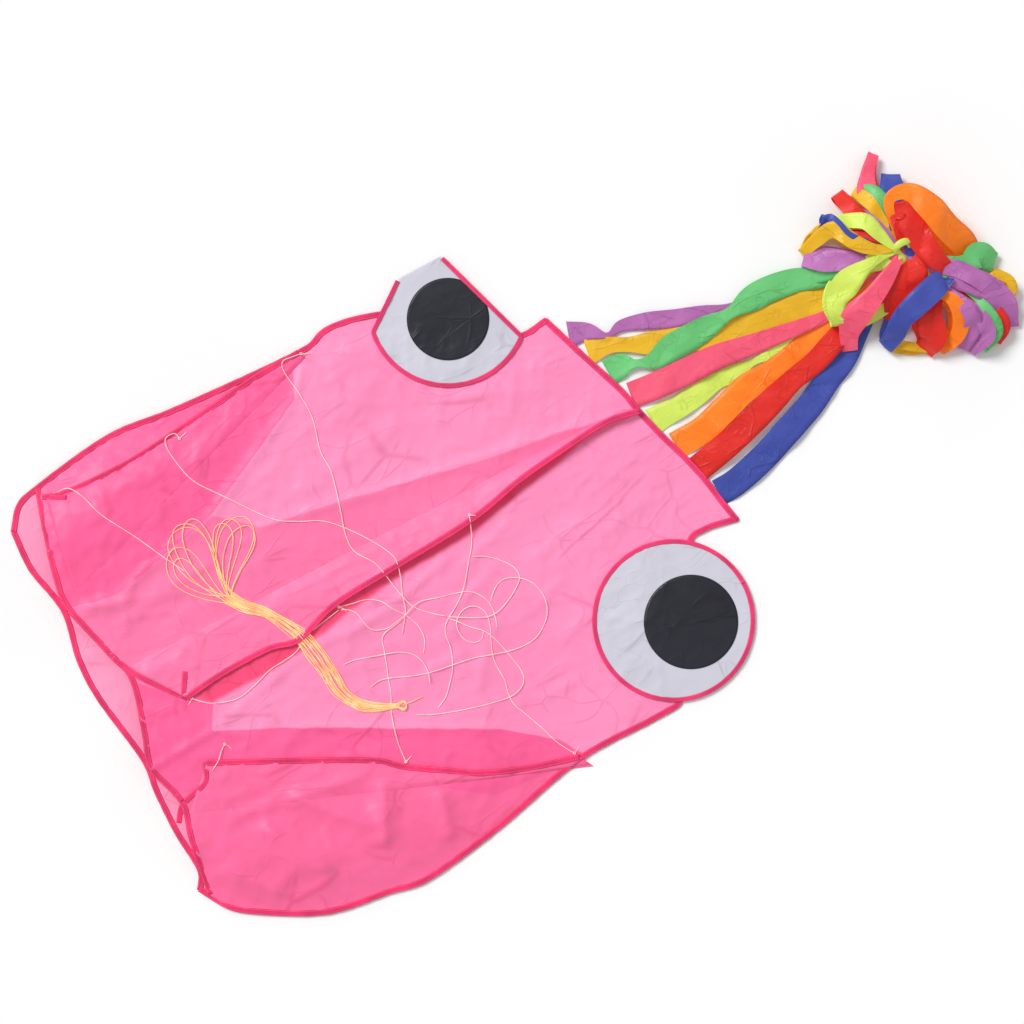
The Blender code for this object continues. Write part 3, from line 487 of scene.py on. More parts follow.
def distance_to(line, x, y):
    nearest = math.inf
    for (ax, ay), (bx, by) in zip(line, line[1:]):
        dx, dy = bx - ax, by - ay
        t = ((x - ax) * dx + (y - ay) * dy) / (dx * dx + dy * dy)
        t = min(1.0, max(0.0, t))
        nearest = min(nearest, math.hypot(x - ax - t * dx, y - ay - t * dy))
    return nearest


def is_inside(loop, x, y):
    inside = False
    for (ax, ay), (bx, by) in zip(loop, loop[1:] + loop[:1]):
        if (ay > y) != (by > y) and x < ax + (bx - ax) * (y - ay) / (by - ay):
            inside = not inside
    return inside


def depth_in(loops, x, y):
    """Distance inside the nearest of some closed outlines, negative outside them."""
    deepest = -math.inf
    for loop in loops:
        near = distance_to(loop + loop[:1], x, y)
        deepest = max(deepest, near if is_inside(loop, x, y) else -near)
    return deepest


def ease(t):
    t = min(1.0, max(0.0, t))
    return t * t * (3 - 2 * t)


LEFT_EDGE = spaced(smooth(LEFT_SIDE), 60)
RIGHT_EDGE = spaced(smooth(RIGHT_SIDE), 64)
REAR_EDGE = spaced(smooth(REAR), 30)
LIP_EDGE = spaced(smooth(LIP), 60)
MOUTH_EDGE = spaced(smooth(MOUTH), 60)


# Heights of the skins


def ripple(x, y, seed, along=9.0, across=26.0):
    """Soft wrinkles that run mostly from mouth to tail, from -1 to 1."""
    broad = noise.noise(Vector((x * along, y * across, seed)))
    small = noise.noise(Vector((x * along * 2.7 + broad, y * across * 2.3, seed + 7)))
    return 0.65 * broad + 0.35 * small


def crease(x, y, seed, size=22.0):
    """Sharp ridges between flat facets, from 0 to 1."""
    value = 0.0
    for octave, weight in ((1.0, 0.6), (2.1, 0.4)):
        at = Vector((x * size * octave, y * size * octave, seed + octave))
        ridge = 1 - abs(noise.noise(at)) * 3.4
        value += weight * max(0.0, ridge) ** 3
    return value


def folds_at(x, y):
    """Height of the listed folds, each a tented ridge between two points."""
    height = 0.0
    for ax, ay, bx, by, high, half in FOLD_LINES:
        reach = 3 * half / 1000
        near_x = min(ax, bx) - reach < x < max(ax, bx) + reach
        if not (near_x and min(ay, by) - reach < y < max(ay, by) + reach):
            continue
        dx, dy = bx - ax, by - ay
        t = ((x - ax) * dx + (y - ay) * dy) / (dx * dx + dy * dy)
        clear = min(1.0, max(0.0, t))
        away = math.hypot(x - ax - clear * dx, y - ay - clear * dy) * 1000 / half
        taper = ease(4 * (t + 0.12)) * ease(4 * (1.12 - t))
        height += FOLD_GAIN * high / 1000 * taper * max(0.0, 1 - away / 2.2) ** 1.7
    return height


def edge_distance(x, y):
    return min(distance_to(edge, x, y) for edge in (LEFT_EDGE, RIGHT_EDGE, REAR_EDGE))


def belly_height(x, y):
    along = ease((FLAT_X - x) / (FLAT_X - MOUTH_X))
    crown = REAR_HEIGHT + (MOUTH_HEIGHT - REAR_HEIGHT) * along
    inward = edge_distance(x, y)
    calm = ease(inward / 0.05)
    base = BACK_TOP + 0.0008 + crown * ease(inward / EDGE_SHOULDER + 0.15)
    wrinkle = (0.0014 + 0.0012 * along) * ripple(x, y, 3.0)
    wrinkle += (0.0018 + 0.0012 * along) * crease(x, y, 5.0, 15.0)
    wrinkle += 0.0009 * crease(x, y, 15.0, 37.0)
    phase = 240 * (x + 0.6 * y) + 5 * noise.noise(Vector((9 * x, 9 * y, 1)))
    pucker = 0.0006 * (1 - calm) * math.sin(phase)  # along the sewn edges
    return max(BACK_TOP + 0.0006, base + (0.25 + 0.75 * calm) * (wrinkle + folds_at(x, y)) + pucker)


# Meshes


SURFACES = []  # trees of what has been laid so far, for pieces that lie on it


def add_mesh(name, points, faces, material, attributes=None, thick=0.0):
    mesh = bpy.data.meshes.new(name)
    mesh.from_pydata(points, [], faces)
    for key, values in (attributes or {}).items():
        mesh.attributes.new(key, "FLOAT", "POINT").data.foreach_set("value", values)
    mesh.polygons.foreach_set("use_smooth", [True] * len(mesh.polygons))
    mesh.materials.append(material)
    mesh.update()
    obj = bpy.data.objects.new(name, mesh)
    bpy.context.scene.collection.objects.link(obj)
    if thick:
        shell = obj.modifiers.new("cloth", "SOLIDIFY")
        shell.thickness, shell.offset = thick, 0.0
    return obj


def grid_faces(rows, columns):
    return [
        (i * columns + k, i * columns + k + 1, (i + 1) * columns + k + 1, (i + 1) * columns + k)
        for i in range(rows - 1) for k in range(columns - 1)
    ]


def lay(obj):
    """Remember a piece's surface, so that later pieces rest on it."""
    corners = [v.co for v in obj.data.vertices]
    SURFACES.append(BVHTree.FromPolygons(corners, [face.vertices for face in obj.data.polygons]))


def top(x, y):
    """Height of the uppermost surface laid so far."""
    highest = 0.0
    for tree in SURFACES:
        hit = tree.ray_cast(Vector((x, y, 1.0)), DOWN)
        if hit[0] is not None:
            highest = max(highest, hit[0].z)
    return highest


def levelled(path, reach):
    """A path in space with each height the mean of its neighbours' heights."""
    heights = [z for x, y, z in path]
    near = [heights[max(0, i - reach):i + reach + 1] for i in range(len(path))]
    return [(x, y, sum(some) / len(some)) for (x, y, z), some in zip(path, near)]


def coons(front, left, right, rear, rows, columns):
    """Plan points of a grid between four edges; front and rear run from the left side to the right."""
    front, rear = spaced(front, columns), spaced(rear, columns)
    left, right = spaced(left, rows), spaced(right, rows)
    grid = []
    for i in range(rows):
        u = i / (rows - 1)
        for k in range(columns):
            v = k / (columns - 1)
            grid.append(tuple(
                (1 - v) * left[i][n] + v * right[i][n] + (1 - u) * front[k][n] + u * rear[k][n]
                - (1 - u) * (1 - v) * left[0][n] - (1 - u) * v * right[0][n]
                - u * (1 - v) * left[-1][n] - u * v * right[-1][n]
                for n in (0, 1)
            ))
    return grid


def frames(points):
    """Tangent, side and up vectors along a line in space; the side is level unless the line is steep."""
    made = []
    for i in range(len(points)):
        ahead = Vector(points[min(i + 1, len(points) - 1)]) - Vector(points[max(i - 1, 0)])
        ahead = ahead.normalized() if ahead.length > 1e-9 else Vector((1, 0, 0))
        side = Vector((-ahead.y, ahead.x, 0))
        if side.length < 0.6 and made:
            side = made[-1][1].copy()
        side = (side - ahead * side.dot(ahead)).normalized() if side.length > 1e-9 else Vector((0, 1, 0))
        if made and side.dot(made[-1][1]) < 0:
            side = -side
        made.append((ahead, side, ahead.cross(side)))
    return made


def sweep(name, path, profile, material):
    """A solid with the closed outline profile(distance) of (sideways, up) points, carried along a path."""
    points, faces, along, across = [], [], [], []
    passed = 0.0
    for i, (p, (_, side, up)) in enumerate(zip(path, frames(path))):
        passed += math.dist(path[i - 1], p) if i else 0.0
        ring = profile(passed)
        for k, (s, u) in enumerate(ring):
            points.append(Vector(p) + side * s + up * u)
            along.append(passed)
            across.append(k / len(ring))
    n = len(points) // len(path)
    for i in range(len(path) - 1):
        for k in range(n):
            a, b = i * n + k, i * n + (k + 1) % n
            faces.append((a, b, b + n, a + n))
    faces += [tuple(range(n))[::-1], tuple(range((len(path) - 1) * n, len(path) * n))]
    return add_mesh(name, points, faces, material, {"along": along, "across": across})


def oval(half, thin, sides=8):
    turns = [2 * math.pi * k / sides for k in range(sides)]
    return [(half * math.cos(a), thin * math.sin(a)) for a in turns]


def tape(name, line, lift, material, width=TAPE_WIDTH, inward=0.5, height=top, seed=0.0):
    """A folded binding tape sewn over an edge; it puckers a little along its stitching."""
    plan = fine(line, 0.0035)
    path = []
    for i, (x, y) in enumerate(plan):
        sx, sy = sideways(plan, i)
        x, y = x + sx * width * (inward - 0.5) * 2, y + sy * width * (inward - 0.5) * 2
        wave = noise.noise(Vector((x * 55, y * 55, seed)))
        path.append((x, y, height(x, y) + lift + 0.0006 * wave))

    def profile(distance):
        pinch = 1 + 0.10 * noise.noise(Vector((distance * 90, seed, 2.0)))
        w, t = width / 2 * pinch, TAPE_THICK / 2
        puff = 1 + 0.45 * noise.noise(Vector((distance * 130, seed, 8.0)))
        return [
            (w, 0.0), (w * 0.86, t * 0.9), (w * 0.55, t * 0.75 * puff), (0, t * 1.15 * puff),
            (-w * 0.55, t * 0.75 * puff), (-w * 0.86, t * 0.9), (-w, 0.0), (-w * 0.8, -t * 0.6),
            (0, -t * 0.7), (w * 0.8, -t * 0.6),
        ]

    return sweep(name, levelled(path, 2), profile, material)


# Materials


class Shader:
    """A node material; `node` sets plain numbers on sockets and links anything that is a socket."""

    def __init__(self, name):
        self.material = bpy.data.materials.new(name)
        self.material.use_nodes = True
        self.tree = self.material.node_tree
        self.tree.nodes.clear()
        self.out = self.tree.nodes.new("ShaderNodeOutputMaterial")
        self.place = self.node("ShaderNodeTexCoord").outputs["Object"]

    def node(self, kind, inputs=None, **settings):
        made = self.tree.nodes.new(kind)
        for key, value in settings.items():
            setattr(made, key, value)
        for key, value in (inputs or {}).items():
            if isinstance(value, bpy.types.NodeSocket):
                self.tree.links.new(value, made.inputs[key])
            else:
                made.inputs[key].default_value = value
        return made

    def maths(self, operation, a, b=0.0):
        return self.node("ShaderNodeMath", {0: a, 1: b}, operation=operation).outputs[0]

    def attribute(self, name):
        return self.node("ShaderNodeAttribute", attribute_name=name, attribute_type="GEOMETRY").outputs["Fac"]

    def ramp(self, value, low, high, bottom=0.0, peak=1.0):
        made = self.node(
            "ShaderNodeMapRange",
            {"Value": value, "From Min": low, "From Max": high, "To Min": bottom, "To Max": peak},
            interpolation_type="SMOOTHSTEP",
        )
        return made.outputs["Result"]

    def noise(self, scale, detail=2.0, place=None, roughness=0.5):
        return self.node("ShaderNodeTexNoise", {
            "Vector": place or self.place, "Scale": scale, "Detail": detail, "Roughness": roughness,
        }).outputs["Fac"]

    def mix(self, share, a, b, blend="MIX"):
        made = self.node("ShaderNodeMix", data_type="RGBA", blend_type=blend, clamp_factor=True)
        for key, value in ((0, share), (6, a), (7, b)):
            if isinstance(value, bpy.types.NodeSocket):
                self.tree.links.new(value, made.inputs[key])
            else:
                made.inputs[key].default_value = (*value, 1.0) if isinstance(value, tuple) else value
        return made.outputs[2]

    def bump(self, height, strength, distance, normal=None):
        inputs = {"Height": height, "Strength": strength, "Distance": distance}
        if normal is not None:
            inputs["Normal"] = normal
        return self.node("ShaderNodeBump", inputs).outputs["Normal"]

    def finish(self, colour, roughness, normal, sheen=0.0, specular=0.35, glow=0.0, alpha=1.0):
        """Glow stands for the light that comes through thin cloth from its other side."""
        made = self.node("ShaderNodeBsdfPrincipled", {
            "Base Color": colour, "Roughness": roughness, "Normal": normal, "Sheen Weight": sheen,
            "Sheen Roughness": 0.4, "Specular IOR Level": specular, "Emission Color": colour,
            "Emission Strength": glow, "Alpha": alpha,
        })
        self.tree.links.new(made.outputs[0], self.out.inputs["Surface"])
        return self.material


def weave(shader, pitch):
    """Height of a plain weave: threads over and under each other at that pitch in metres."""
    split = shader.node("ShaderNodeSeparateXYZ", {0: shader.place})
    turns = 2 * math.pi / pitch
    x = shader.maths("SINE", shader.maths("MULTIPLY", split.outputs[0], turns))
    y = shader.maths("SINE", shader.maths("MULTIPLY", split.outputs[1], turns))
    return shader.maths("MULTIPLY", x, y)


def cells(shader, place, scale, feature, output):
    """Straight-sided cells, slightly warped, as in nylon that was folded small."""
    warp = shader.node("ShaderNodeTexNoise", {"Vector": place, "Scale": scale * 0.45, "Detail": 1.0})
    shift = {0: warp.outputs["Color"], 1: (0.12, 0.12, 0.12), 2: place}
    moved = shader.node("ShaderNodeVectorMath", shift, operation="MULTIPLY_ADD")
    made = shader.node("ShaderNodeTexVoronoi", {"Vector": moved.outputs[0], "Scale": scale}, feature=feature)
    return made.outputs[output]


def nylon(name, colour, tones=(), roughness=0.46, crumple=0.6, sheen=0.12, seed=0.0, specular=0.3,
          glow=0.06, size=7.0, facet_shading=0.10, alpha=1.0):
    """Thin nylon with long straight creases. Tones are (attribute, colour, low, high), each laid over the
    ones before it; size is the number of facets per metre.
    Each facet is painted a little lighter or darker at random, as painted shade, by the share given after
    size, and the creases are painted darker, as shade."""
    shader = Shader(name)
    paint = colour
    for attribute, tone, low, high in tones:
        wobble = shader.maths("MULTIPLY", shader.maths("SUBTRACT", shader.noise(30.0, 3.0), 0.5), 0.006)
        edge = shader.maths("ADD", shader.attribute(attribute), wobble)
        paint = shader.mix(shader.ramp(edge, low, high), paint, tone)
    shifted = shader.node("ShaderNodeMapping", {
        "Vector": shader.place, "Location": (seed, seed * 0.7, seed * 0.3), "Rotation": (0.0, 0.0, 0.3),
        "Scale": (0.62, 1.0, 1.0),
    }).outputs["Vector"]
    shade = tuple(0.30 + 0.55 * c for c in colour)
    broad = shader.ramp(shader.noise(6.0, 3.0, shifted), 0.32, 0.68)
    paint = shader.mix(0.16, paint, shader.mix(broad, shade, (1.0, 1.0, 1.0)), "MULTIPLY")
    # Painted shade: each facet of the crumpled cloth a little lighter or darker, chosen at random
    facets = cells(shader, shifted, size * 1.6, "F1", "Color")
    tone = shader.node("ShaderNodeSeparateColor", {0: facets}).outputs[0]
    paint = shader.mix(facet_shading, paint, shader.mix(tone, shade, (1.0, 1.0, 1.0)), "MULTIPLY")
    edge = cells(shader, shifted, size, "DISTANCE_TO_EDGE", "Distance")
    thin = shader.ramp(edge, 0.0, 0.035, 1.0, 0.0)
    edge = cells(shader, shifted, size * 2.6, "DISTANCE_TO_EDGE", "Distance")
    finer = shader.ramp(edge, 0.0, 0.05, 1.0, 0.0)
    broken = shader.ramp(shader.noise(size * 1.8, 3.0, shifted), 0.46, 0.60)
    lines = shader.maths("MAXIMUM", thin, shader.maths("MULTIPLY", finer, 0.6))
    lines = shader.maths("MULTIPLY", lines, broken)
    # Painted shade in the creases: the crease lines are darkened
    crease_shade = tuple(c * 0.72 for c in colour)
    paint = shader.mix(shader.maths("MULTIPLY", lines, 0.27), paint, crease_shade, "MULTIPLY")
    scuff = shader.ramp(shader.noise(160.0, 5.0, shifted, 0.7), 0.60, 0.78, 0.0, 0.10)
    paint = shader.mix(scuff, paint, tuple(min(1.0, 0.75 * c + 0.25) for c in colour))
    slope = cells(shader, shifted, size, "F1", "Distance")
    normal = shader.bump(slope, crumple, 0.05 / size)
    normal = shader.bump(cells(shader, shifted, size * 2.6, "F1", "Distance"), crumple, 0.011 / size, normal)
    normal = shader.bump(lines, 0.7 * crumple, 0.0012, normal)
    normal = shader.bump(weave(shader, 0.0009), 0.10, 0.0002, normal)
    rough = shader.ramp(shader.noise(60.0, 3.0, shifted), 0.3, 0.7, roughness - 0.07, roughness + 0.08)
    return shader.finish(paint, rough, normal, sheen, specular, glow, alpha)


def webbing(name, colour, thread):
    """Folded binding tape with ribs across it and a row of stitches along each side."""
    shader = Shader(name)
    along, across = shader.attribute("along"), shader.attribute("across")
    step = shader.maths("FRACT", shader.maths("DIVIDE", along, 0.0034))
    dash = shader.ramp(shader.maths("ABSOLUTE", shader.maths("SUBTRACT", step, 0.5)), 0.30, 0.36, 1.0, 0.0)
    rows = None
    for at in (0.17, 0.43):
        near = shader.maths("ABSOLUTE", shader.maths("SUBTRACT", across, at))
        row = shader.ramp(near, 0.018, 0.030, 1.0, 0.0)
        rows = row if rows is None else shader.maths("MAXIMUM", rows, row)
    stitch = shader.maths("MULTIPLY", dash, rows)
    broad = shader.ramp(shader.noise(22.0, 3.0), 0.35, 0.65)
    paint = shader.mix(broad, tuple(c * 0.86 for c in colour), tuple(min(1.0, c * 1.14) for c in colour))
    worn = shader.ramp(shader.noise(240.0, 4.0), 0.58, 0.74, 0.0, 0.22)
    paint = shader.mix(worn, paint, tuple(min(1.0, c * 1.1 + 0.10) for c in colour))
    paint = shader.mix(shader.maths("MULTIPLY", stitch, 0.75), paint, thread)
    ribs = shader.maths("SINE", shader.maths("MULTIPLY", along, 2 * math.pi / 0.0011))
    normal = shader.bump(ribs, 0.12, 0.0003)
    normal = shader.bump(stitch, 0.5, 0.0004, normal)
    normal = shader.bump(shader.noise(90.0, 3.0), 0.35, 0.002, normal)
    return shader.finish(paint, 0.58, normal, 0.15, 0.25)


def braid(name, colour, second_tone):
    """Braided line with patches of a second tone; on the hank that darker orange tone is painted shade among
    its strands.
    """
    shader = Shader(name)
    strands = shader.node("ShaderNodeTexWave", {
        "Vector": shader.place, "Scale": 260.0, "Distortion": 3.0, "Detail": 1.0,
    }, bands_direction="DIAGONAL").outputs["Fac"]
    tone = shader.ramp(shader.noise(45.0, 2.0), 0.35, 0.65)
    # Patches of the second tone; on the hank they are painted shade
    paint = shader.mix(tone, colour, second_tone)
    paint = shader.mix(shader.maths("MULTIPLY", strands, 0.16), paint, tuple(c * 0.6 for c in colour))
    normal = shader.bump(strands, 0.5, 0.0003)
    return shader.finish(paint, 0.6, normal, 0.2, 0.3, 0.18)


BELLY = nylon("belly_nylon", PINK, (
    ("layer_mid", MID_PINK, -0.0015, 0.0015), ("layer_flap", FLAP_PINK, -0.0015, 0.0015),
    # the last tone is painted shadow from the middle keel's hem, with a soft edge
    ("layer_dark", DARK_PINK, -0.0015, 0.0015), ("deep_layers_and_hem_shadow", DEEP_LAYER_SHADOW_PINK, -0.0040, 0.0050),
))
BACK = nylon("back_nylon", PALE_PINK, seed=3.0)
RIB = nylon("rib_nylon", (0.92, 0.22, 0.42), seed=5.0)
KEEL_CLOTH = {
    "dark": nylon("keel_nylon_dark", DARK_PINK, seed=7.0, crumple=0.35),
    "mid": nylon("keel_nylon_mid", MID_PINK, seed=9.0, crumple=0.35),
    "flap": nylon("keel_nylon_flap", FLAP_PINK, seed=11.0),
}
EYE_WHITE = nylon(
    "eye_white_nylon", WHITE, roughness=0.5, crumple=0.5, seed=2.0, sheen=0.05, size=12.0,
)
EYE_BLACK = nylon(
    "eye_pupil_nylon", BLACK, roughness=0.42, crumple=0.5, seed=4.0, sheen=0.2, glow=0.0, size=12.0,
)
TAPE = webbing("binding_tape", TAPE_PINK, (0.96, 0.22, 0.40))
TAPE_EYE = webbing("eye_tape", (0.80, 0.035, 0.150), (0.92, 0.16, 0.32))
LINE_BRAID = braid("bridle_braid", LINE_PINK, (0.98, 0.60, 0.58))
# The hank's second tone, a darker orange, is painted shade among its many strands
HANK_BRAID = braid("hank_braid", CREAM, (0.99, 0.58, 0.26))
RIBBON = {
    name: nylon(name + "_nylon", colour, roughness=0.42, crumple=0.7, seed=float(i), sheen=0.10,
                specular=0.35, glow=0.14, size=20.0, facet_shading=0.30, alpha=0.88)
    for i, (name, colour) in enumerate(RIBBONS.items())
}


# Body


def attach(obj, node, body="kite_body"):
    """The usual lines for a piece: the node that it stands for, and the body it rides on."""
    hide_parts(node)
    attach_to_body(obj, body)


def back_height(x, y):
    open_end = ease((-0.66 - x) / 0.07)  # the back stands in waves at the mouth
    return 0.0006 + 0.0007 * abs(ripple(x, y, 11.0)) + 0.0035 * open_end * abs(ripple(x, y, 4.0))


def make_skins():
    rows, columns = 120, 90
    plan = coons(MOUTH_EDGE, LEFT_EDGE, RIGHT_EDGE, REAR_EDGE, rows, columns)
    points = [(x, y, back_height(x, y)) for x, y in plan]
    back = add_mesh("back_skin", points, grid_faces(rows, columns), BACK, thick=CLOTH)
    rows, columns = 190, 150
    left = [LIP_EDGE[0]] + [p for p in LEFT_EDGE if p[0] > LIP_EDGE[0][0] + 0.012]
    right = [LIP_EDGE[-1]] + [p for p in RIGHT_EDGE if p[0] > LIP_EDGE[-1][0] + 0.012]
    plan = coons(LIP_EDGE, left, right, REAR_EDGE, rows, columns)
    points = [(x, y, belly_height(x, y)) for x, y in plan]
    attributes = {
        name: [max(-0.05, depth_in(loops, x, y)) for x, y in plan] for name, loops in LAYERS.items()
    }
    belly = add_mesh("belly_skin", points, grid_faces(rows, columns), BELLY, attributes, thick=CLOTH)
    lay(back)
    lay(belly)
    attach(back, "back_sheet")
    attach(belly, "belly_sheet")
    return back, belly


RIBS = {  # front and rear of the upper edge, and of the lower edge
    "rib_left_outer": ((-0.690, 0.300), (-0.300, 0.300), (-0.690, 0.285), (-0.300, 0.292)),
    "rib_left_inner": ((-0.695, 0.212), (-0.220, 0.190), (-0.695, 0.197), (-0.220, 0.184)),
    "rib_middle": ((-0.655, 0.050), (-0.220, 0.040), (-0.700, -0.060), (-0.220, 0.010)),
    "rib_right_inner": ((-0.690, -0.134), (-0.220, -0.110), (-0.690, -0.146), (-0.220, -0.116)),
    "rib_right_outer": ((-0.690, -0.240), (-0.300, -0.250), (-0.690, -0.252), (-0.300, -0.256)),
}


def make_ribs():
    """Cloth walls between the skins, slumped over as they are in a collapsed kite."""
    belly, foot = SURFACES[1], BACK_TOP + GAP
    for seed, (name, (belly_front, belly_rear, back_front, back_rear)) in enumerate(RIBS.items()):
        points, count, high = [], 60, 8
        for i in range(count):
            upper = between(belly_front, belly_rear, i / (count - 1))
            lower = between(back_front, back_rear, i / (count - 1))
            hit = belly.ray_cast(Vector((*upper, 1.0)), DOWN)
            z_top = (hit[0].z if hit[0] is not None else belly_height(*upper)) - 0.0012
            for k in range(high):
                t = k / (high - 1)
                x, y = between(lower, upper, t)
                y += 0.004 * math.sin(math.pi * t) * noise.noise(Vector((x * 30, t * 2, seed)))
                points.append((x, y, foot + (z_top - foot) * t))
        wall = add_mesh(name + "_cloth", points, grid_faces(count, high), RIB, thick=CLOTH)
        attach(wall, name)


def make_keels():
    fins = []
    for name, keel in KEELS.items():
        free = fine(keel["edge"], 0.006)
        rows, columns = len(free), 22
        seam = spaced(keel["seam"], rows)
        points = []
        for i in range(rows):
            for k in range(columns):
                t = k / (columns - 1)
                x, y = between(seam[i], free[i], t)
                lift = 0.0018 * ease(2.5 * t) - 0.0014 * (1 - ease(9 * t))  # sewn down at the seam
                lift += keel["rise"] * ease(t) * (0.55 + 0.45 * math.sin(6 * x + 2))
                wrinkle = 0.0007 * (1 + ripple(x, y, 21.0, 22.0, 22.0)) + 0.0016 * crease(x, y, 31.0)
                points.append((x, y, max(0.0008, top(x, y) + lift + ease(2.5 * t) * wrinkle)))
        cloth = KEEL_CLOTH[keel["tone"]]
        fin = add_mesh(name + "_fin", points, grid_faces(rows, columns), cloth, thick=CLOTH)
        lay(fin)
        fins.append(fin)
        edge_heights = [z for x, y, z in points[columns - 1::columns]]

        def hem_height(x, y):
            nearest = min(range(rows), key=lambda n: (free[n][0] - x) ** 2 + (free[n][1] - y) ** 2)
            return edge_heights[nearest]

        hem = tape(name + "_hem", keel["edge"], 0.0004, TAPE, height=hem_height, seed=rows)
        attach(hem, name + "_binding", keel["body"])
        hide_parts(name)
        if keel["body"] == "kite_body":
            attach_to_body(fin, "kite_body")
        else:
            (ax, ay), (bx, by) = keel["seam"]
            size = math.hypot(bx - ax, by - ay)
            away = Vector(((ay - by) / size, (bx - ax) / size, 0))
            middle = Vector((*between((ax, ay), (bx, by), 0.5), 0.012))
            inner = Vector((*between(free[0], free[-1], 0.5), 0.012)) - middle
            away = away if away.dot(inner) > 0 else -away
            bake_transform(fin)
    return fins


def make_tapes():
    pieces = (
        ("mouth_tape_back", MOUTH_EDGE, "mouth_binding_back", 0.0006),
        ("mouth_tape_belly", LIP_EDGE, "mouth_binding_belly", 0.0002),
        ("side_tape_left", LEFT_EDGE[::-1], "side_binding_left", 0.0010),
        ("side_tape_right", RIGHT_EDGE, "side_binding_right", 0.0010),
        ("rear_tape", REAR_EDGE[::-1], "rear_binding", 0.0010),
    )
    for seed, (name, line, node, lift) in enumerate(pieces):
        attach(tape(name, line, lift, TAPE, inward=0.62, seed=seed * 3.0), node)


def make_front_hems():
    for seed, (name, line) in enumerate(FRONT_HEMS.items()):
        made = tape(name, line, 0.0006, TAPE, width=0.0078, seed=seed * 4.0)
        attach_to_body(made, "kite_body")


# Eyes


def clipped_circle(centre, radius, folds):
    """Outline of a disc that is folded under along some straight lines, with what is on their left kept."""
    outline = []
    for k in range(EYE_SIDES):
        turn = 2 * math.pi * k / EYE_SIDES
        outline.append((centre[0] + radius * math.cos(turn), centre[1] + radius * math.sin(turn)))
    for (ax, ay), (bx, by) in folds:
        kept = []
        for p, q in zip(outline, outline[1:] + outline[:1]):
            a = (bx - ax) * (p[1] - ay) - (by - ay) * (p[0] - ax)
            b = (bx - ax) * (q[1] - ay) - (by - ay) * (q[0] - ax)
            if a >= 0:
                kept.append(p)
            if (a >= 0) != (b >= 0):
                kept.append(between(p, q, a / (a - b)))
        outline = kept
    return spaced(outline + outline[:1], EYE_SIDES + 1)[:-1]


def disc(name, outline, centre, height, material, rings=26):
    points = [(*centre, height(*centre))]
    faces = []
    n = len(outline)
    for r in range(1, rings + 1):
        for p in outline:
            x, y = between(centre, p, r / rings)
            points.append((x, y, height(x, y)))
    for k in range(n):
        faces.append((0, 1 + k, 1 + (k + 1) % n))
        for r in range(rings - 1):
            a, b = 1 + r * n + k, 1 + r * n + (k + 1) % n
            faces.append((a, a + n, b + n, b))
    return add_mesh(name, points, faces, material, thick=CLOTH)


def make_eyes():
    top_fold = ((1.0, LEFT_EYE_TOP), (-1.0, LEFT_EYE_TOP))
    for side, centre, pupil, folds in (
        ("left", LEFT_EYE, LEFT_PUPIL, (top_fold, LEFT_EYE_BACK, LEFT_EYE_FRONT)),
        ("right", RIGHT_EYE, RIGHT_PUPIL, ()),
    ):
        outline = clipped_circle(centre, EYE_RADIUS, folds)

        def rest(x, y, seed=len(side)):
            wrinkle = 0.0006 * (1 + ripple(x, y, 40.0 + seed, 16.0, 20.0))
            wrinkle += 0.0005 * crease(x, y, 44.0, 14.0)
            away = math.dist((x, y), centre) / EYE_RADIUS
            return max(0.0042 + 0.0008 * (1 - away), top(x, y) + EYE_LIFT) + wrinkle

        white = disc(side + "_eye_disc", outline, centre, rest, EYE_WHITE)
        lay(white)
        inner = clipped_circle(pupil, PUPIL_RADII[side], folds)
        name = side + "_pupil_disc"
        black = disc(name, inner, pupil, lambda x, y: top(x, y) + 0.0007, EYE_BLACK, rings=18)
        ring = outline + outline[:2]
        if folds:  # the top fold has no tape
            fold = LEFT_EYE_TOP - 0.001
            above = [p[1] > fold for p in outline]
            first = next(i for i, over in enumerate(above) if over and not above[i - 1])
            ring = [p for p in outline[first:] + outline[:first] if p[1] < fold]
        edge = tape(side + "_eye_hem", ring, 0.0006, TAPE_EYE, height=rest, width=0.0068, seed=5.0)
        attach(white, side + "_eye_white")
        attach(black, side + "_eye_pupil")
        attach(edge, side + "_eye_binding")


# Ribbons


def facet(distance, seed, pitch=0.019, high=0.0036):
    """Height of cloth creased across every so often and flat in between."""
    place = distance / pitch
    before = math.floor(place)
    low, peak = (noise.noise(Vector((n * 1.37, seed, 0.5))) for n in (before, before + 1))
    return high * (low + (peak - low) * (place - before))


TOP_COLUMNS, UNDER_COLUMNS = 6, 5
FOLD_ANGLE = math.radians(14)  # a ribbon's facets meet in visible creases above this
NARROWEST = 0.008


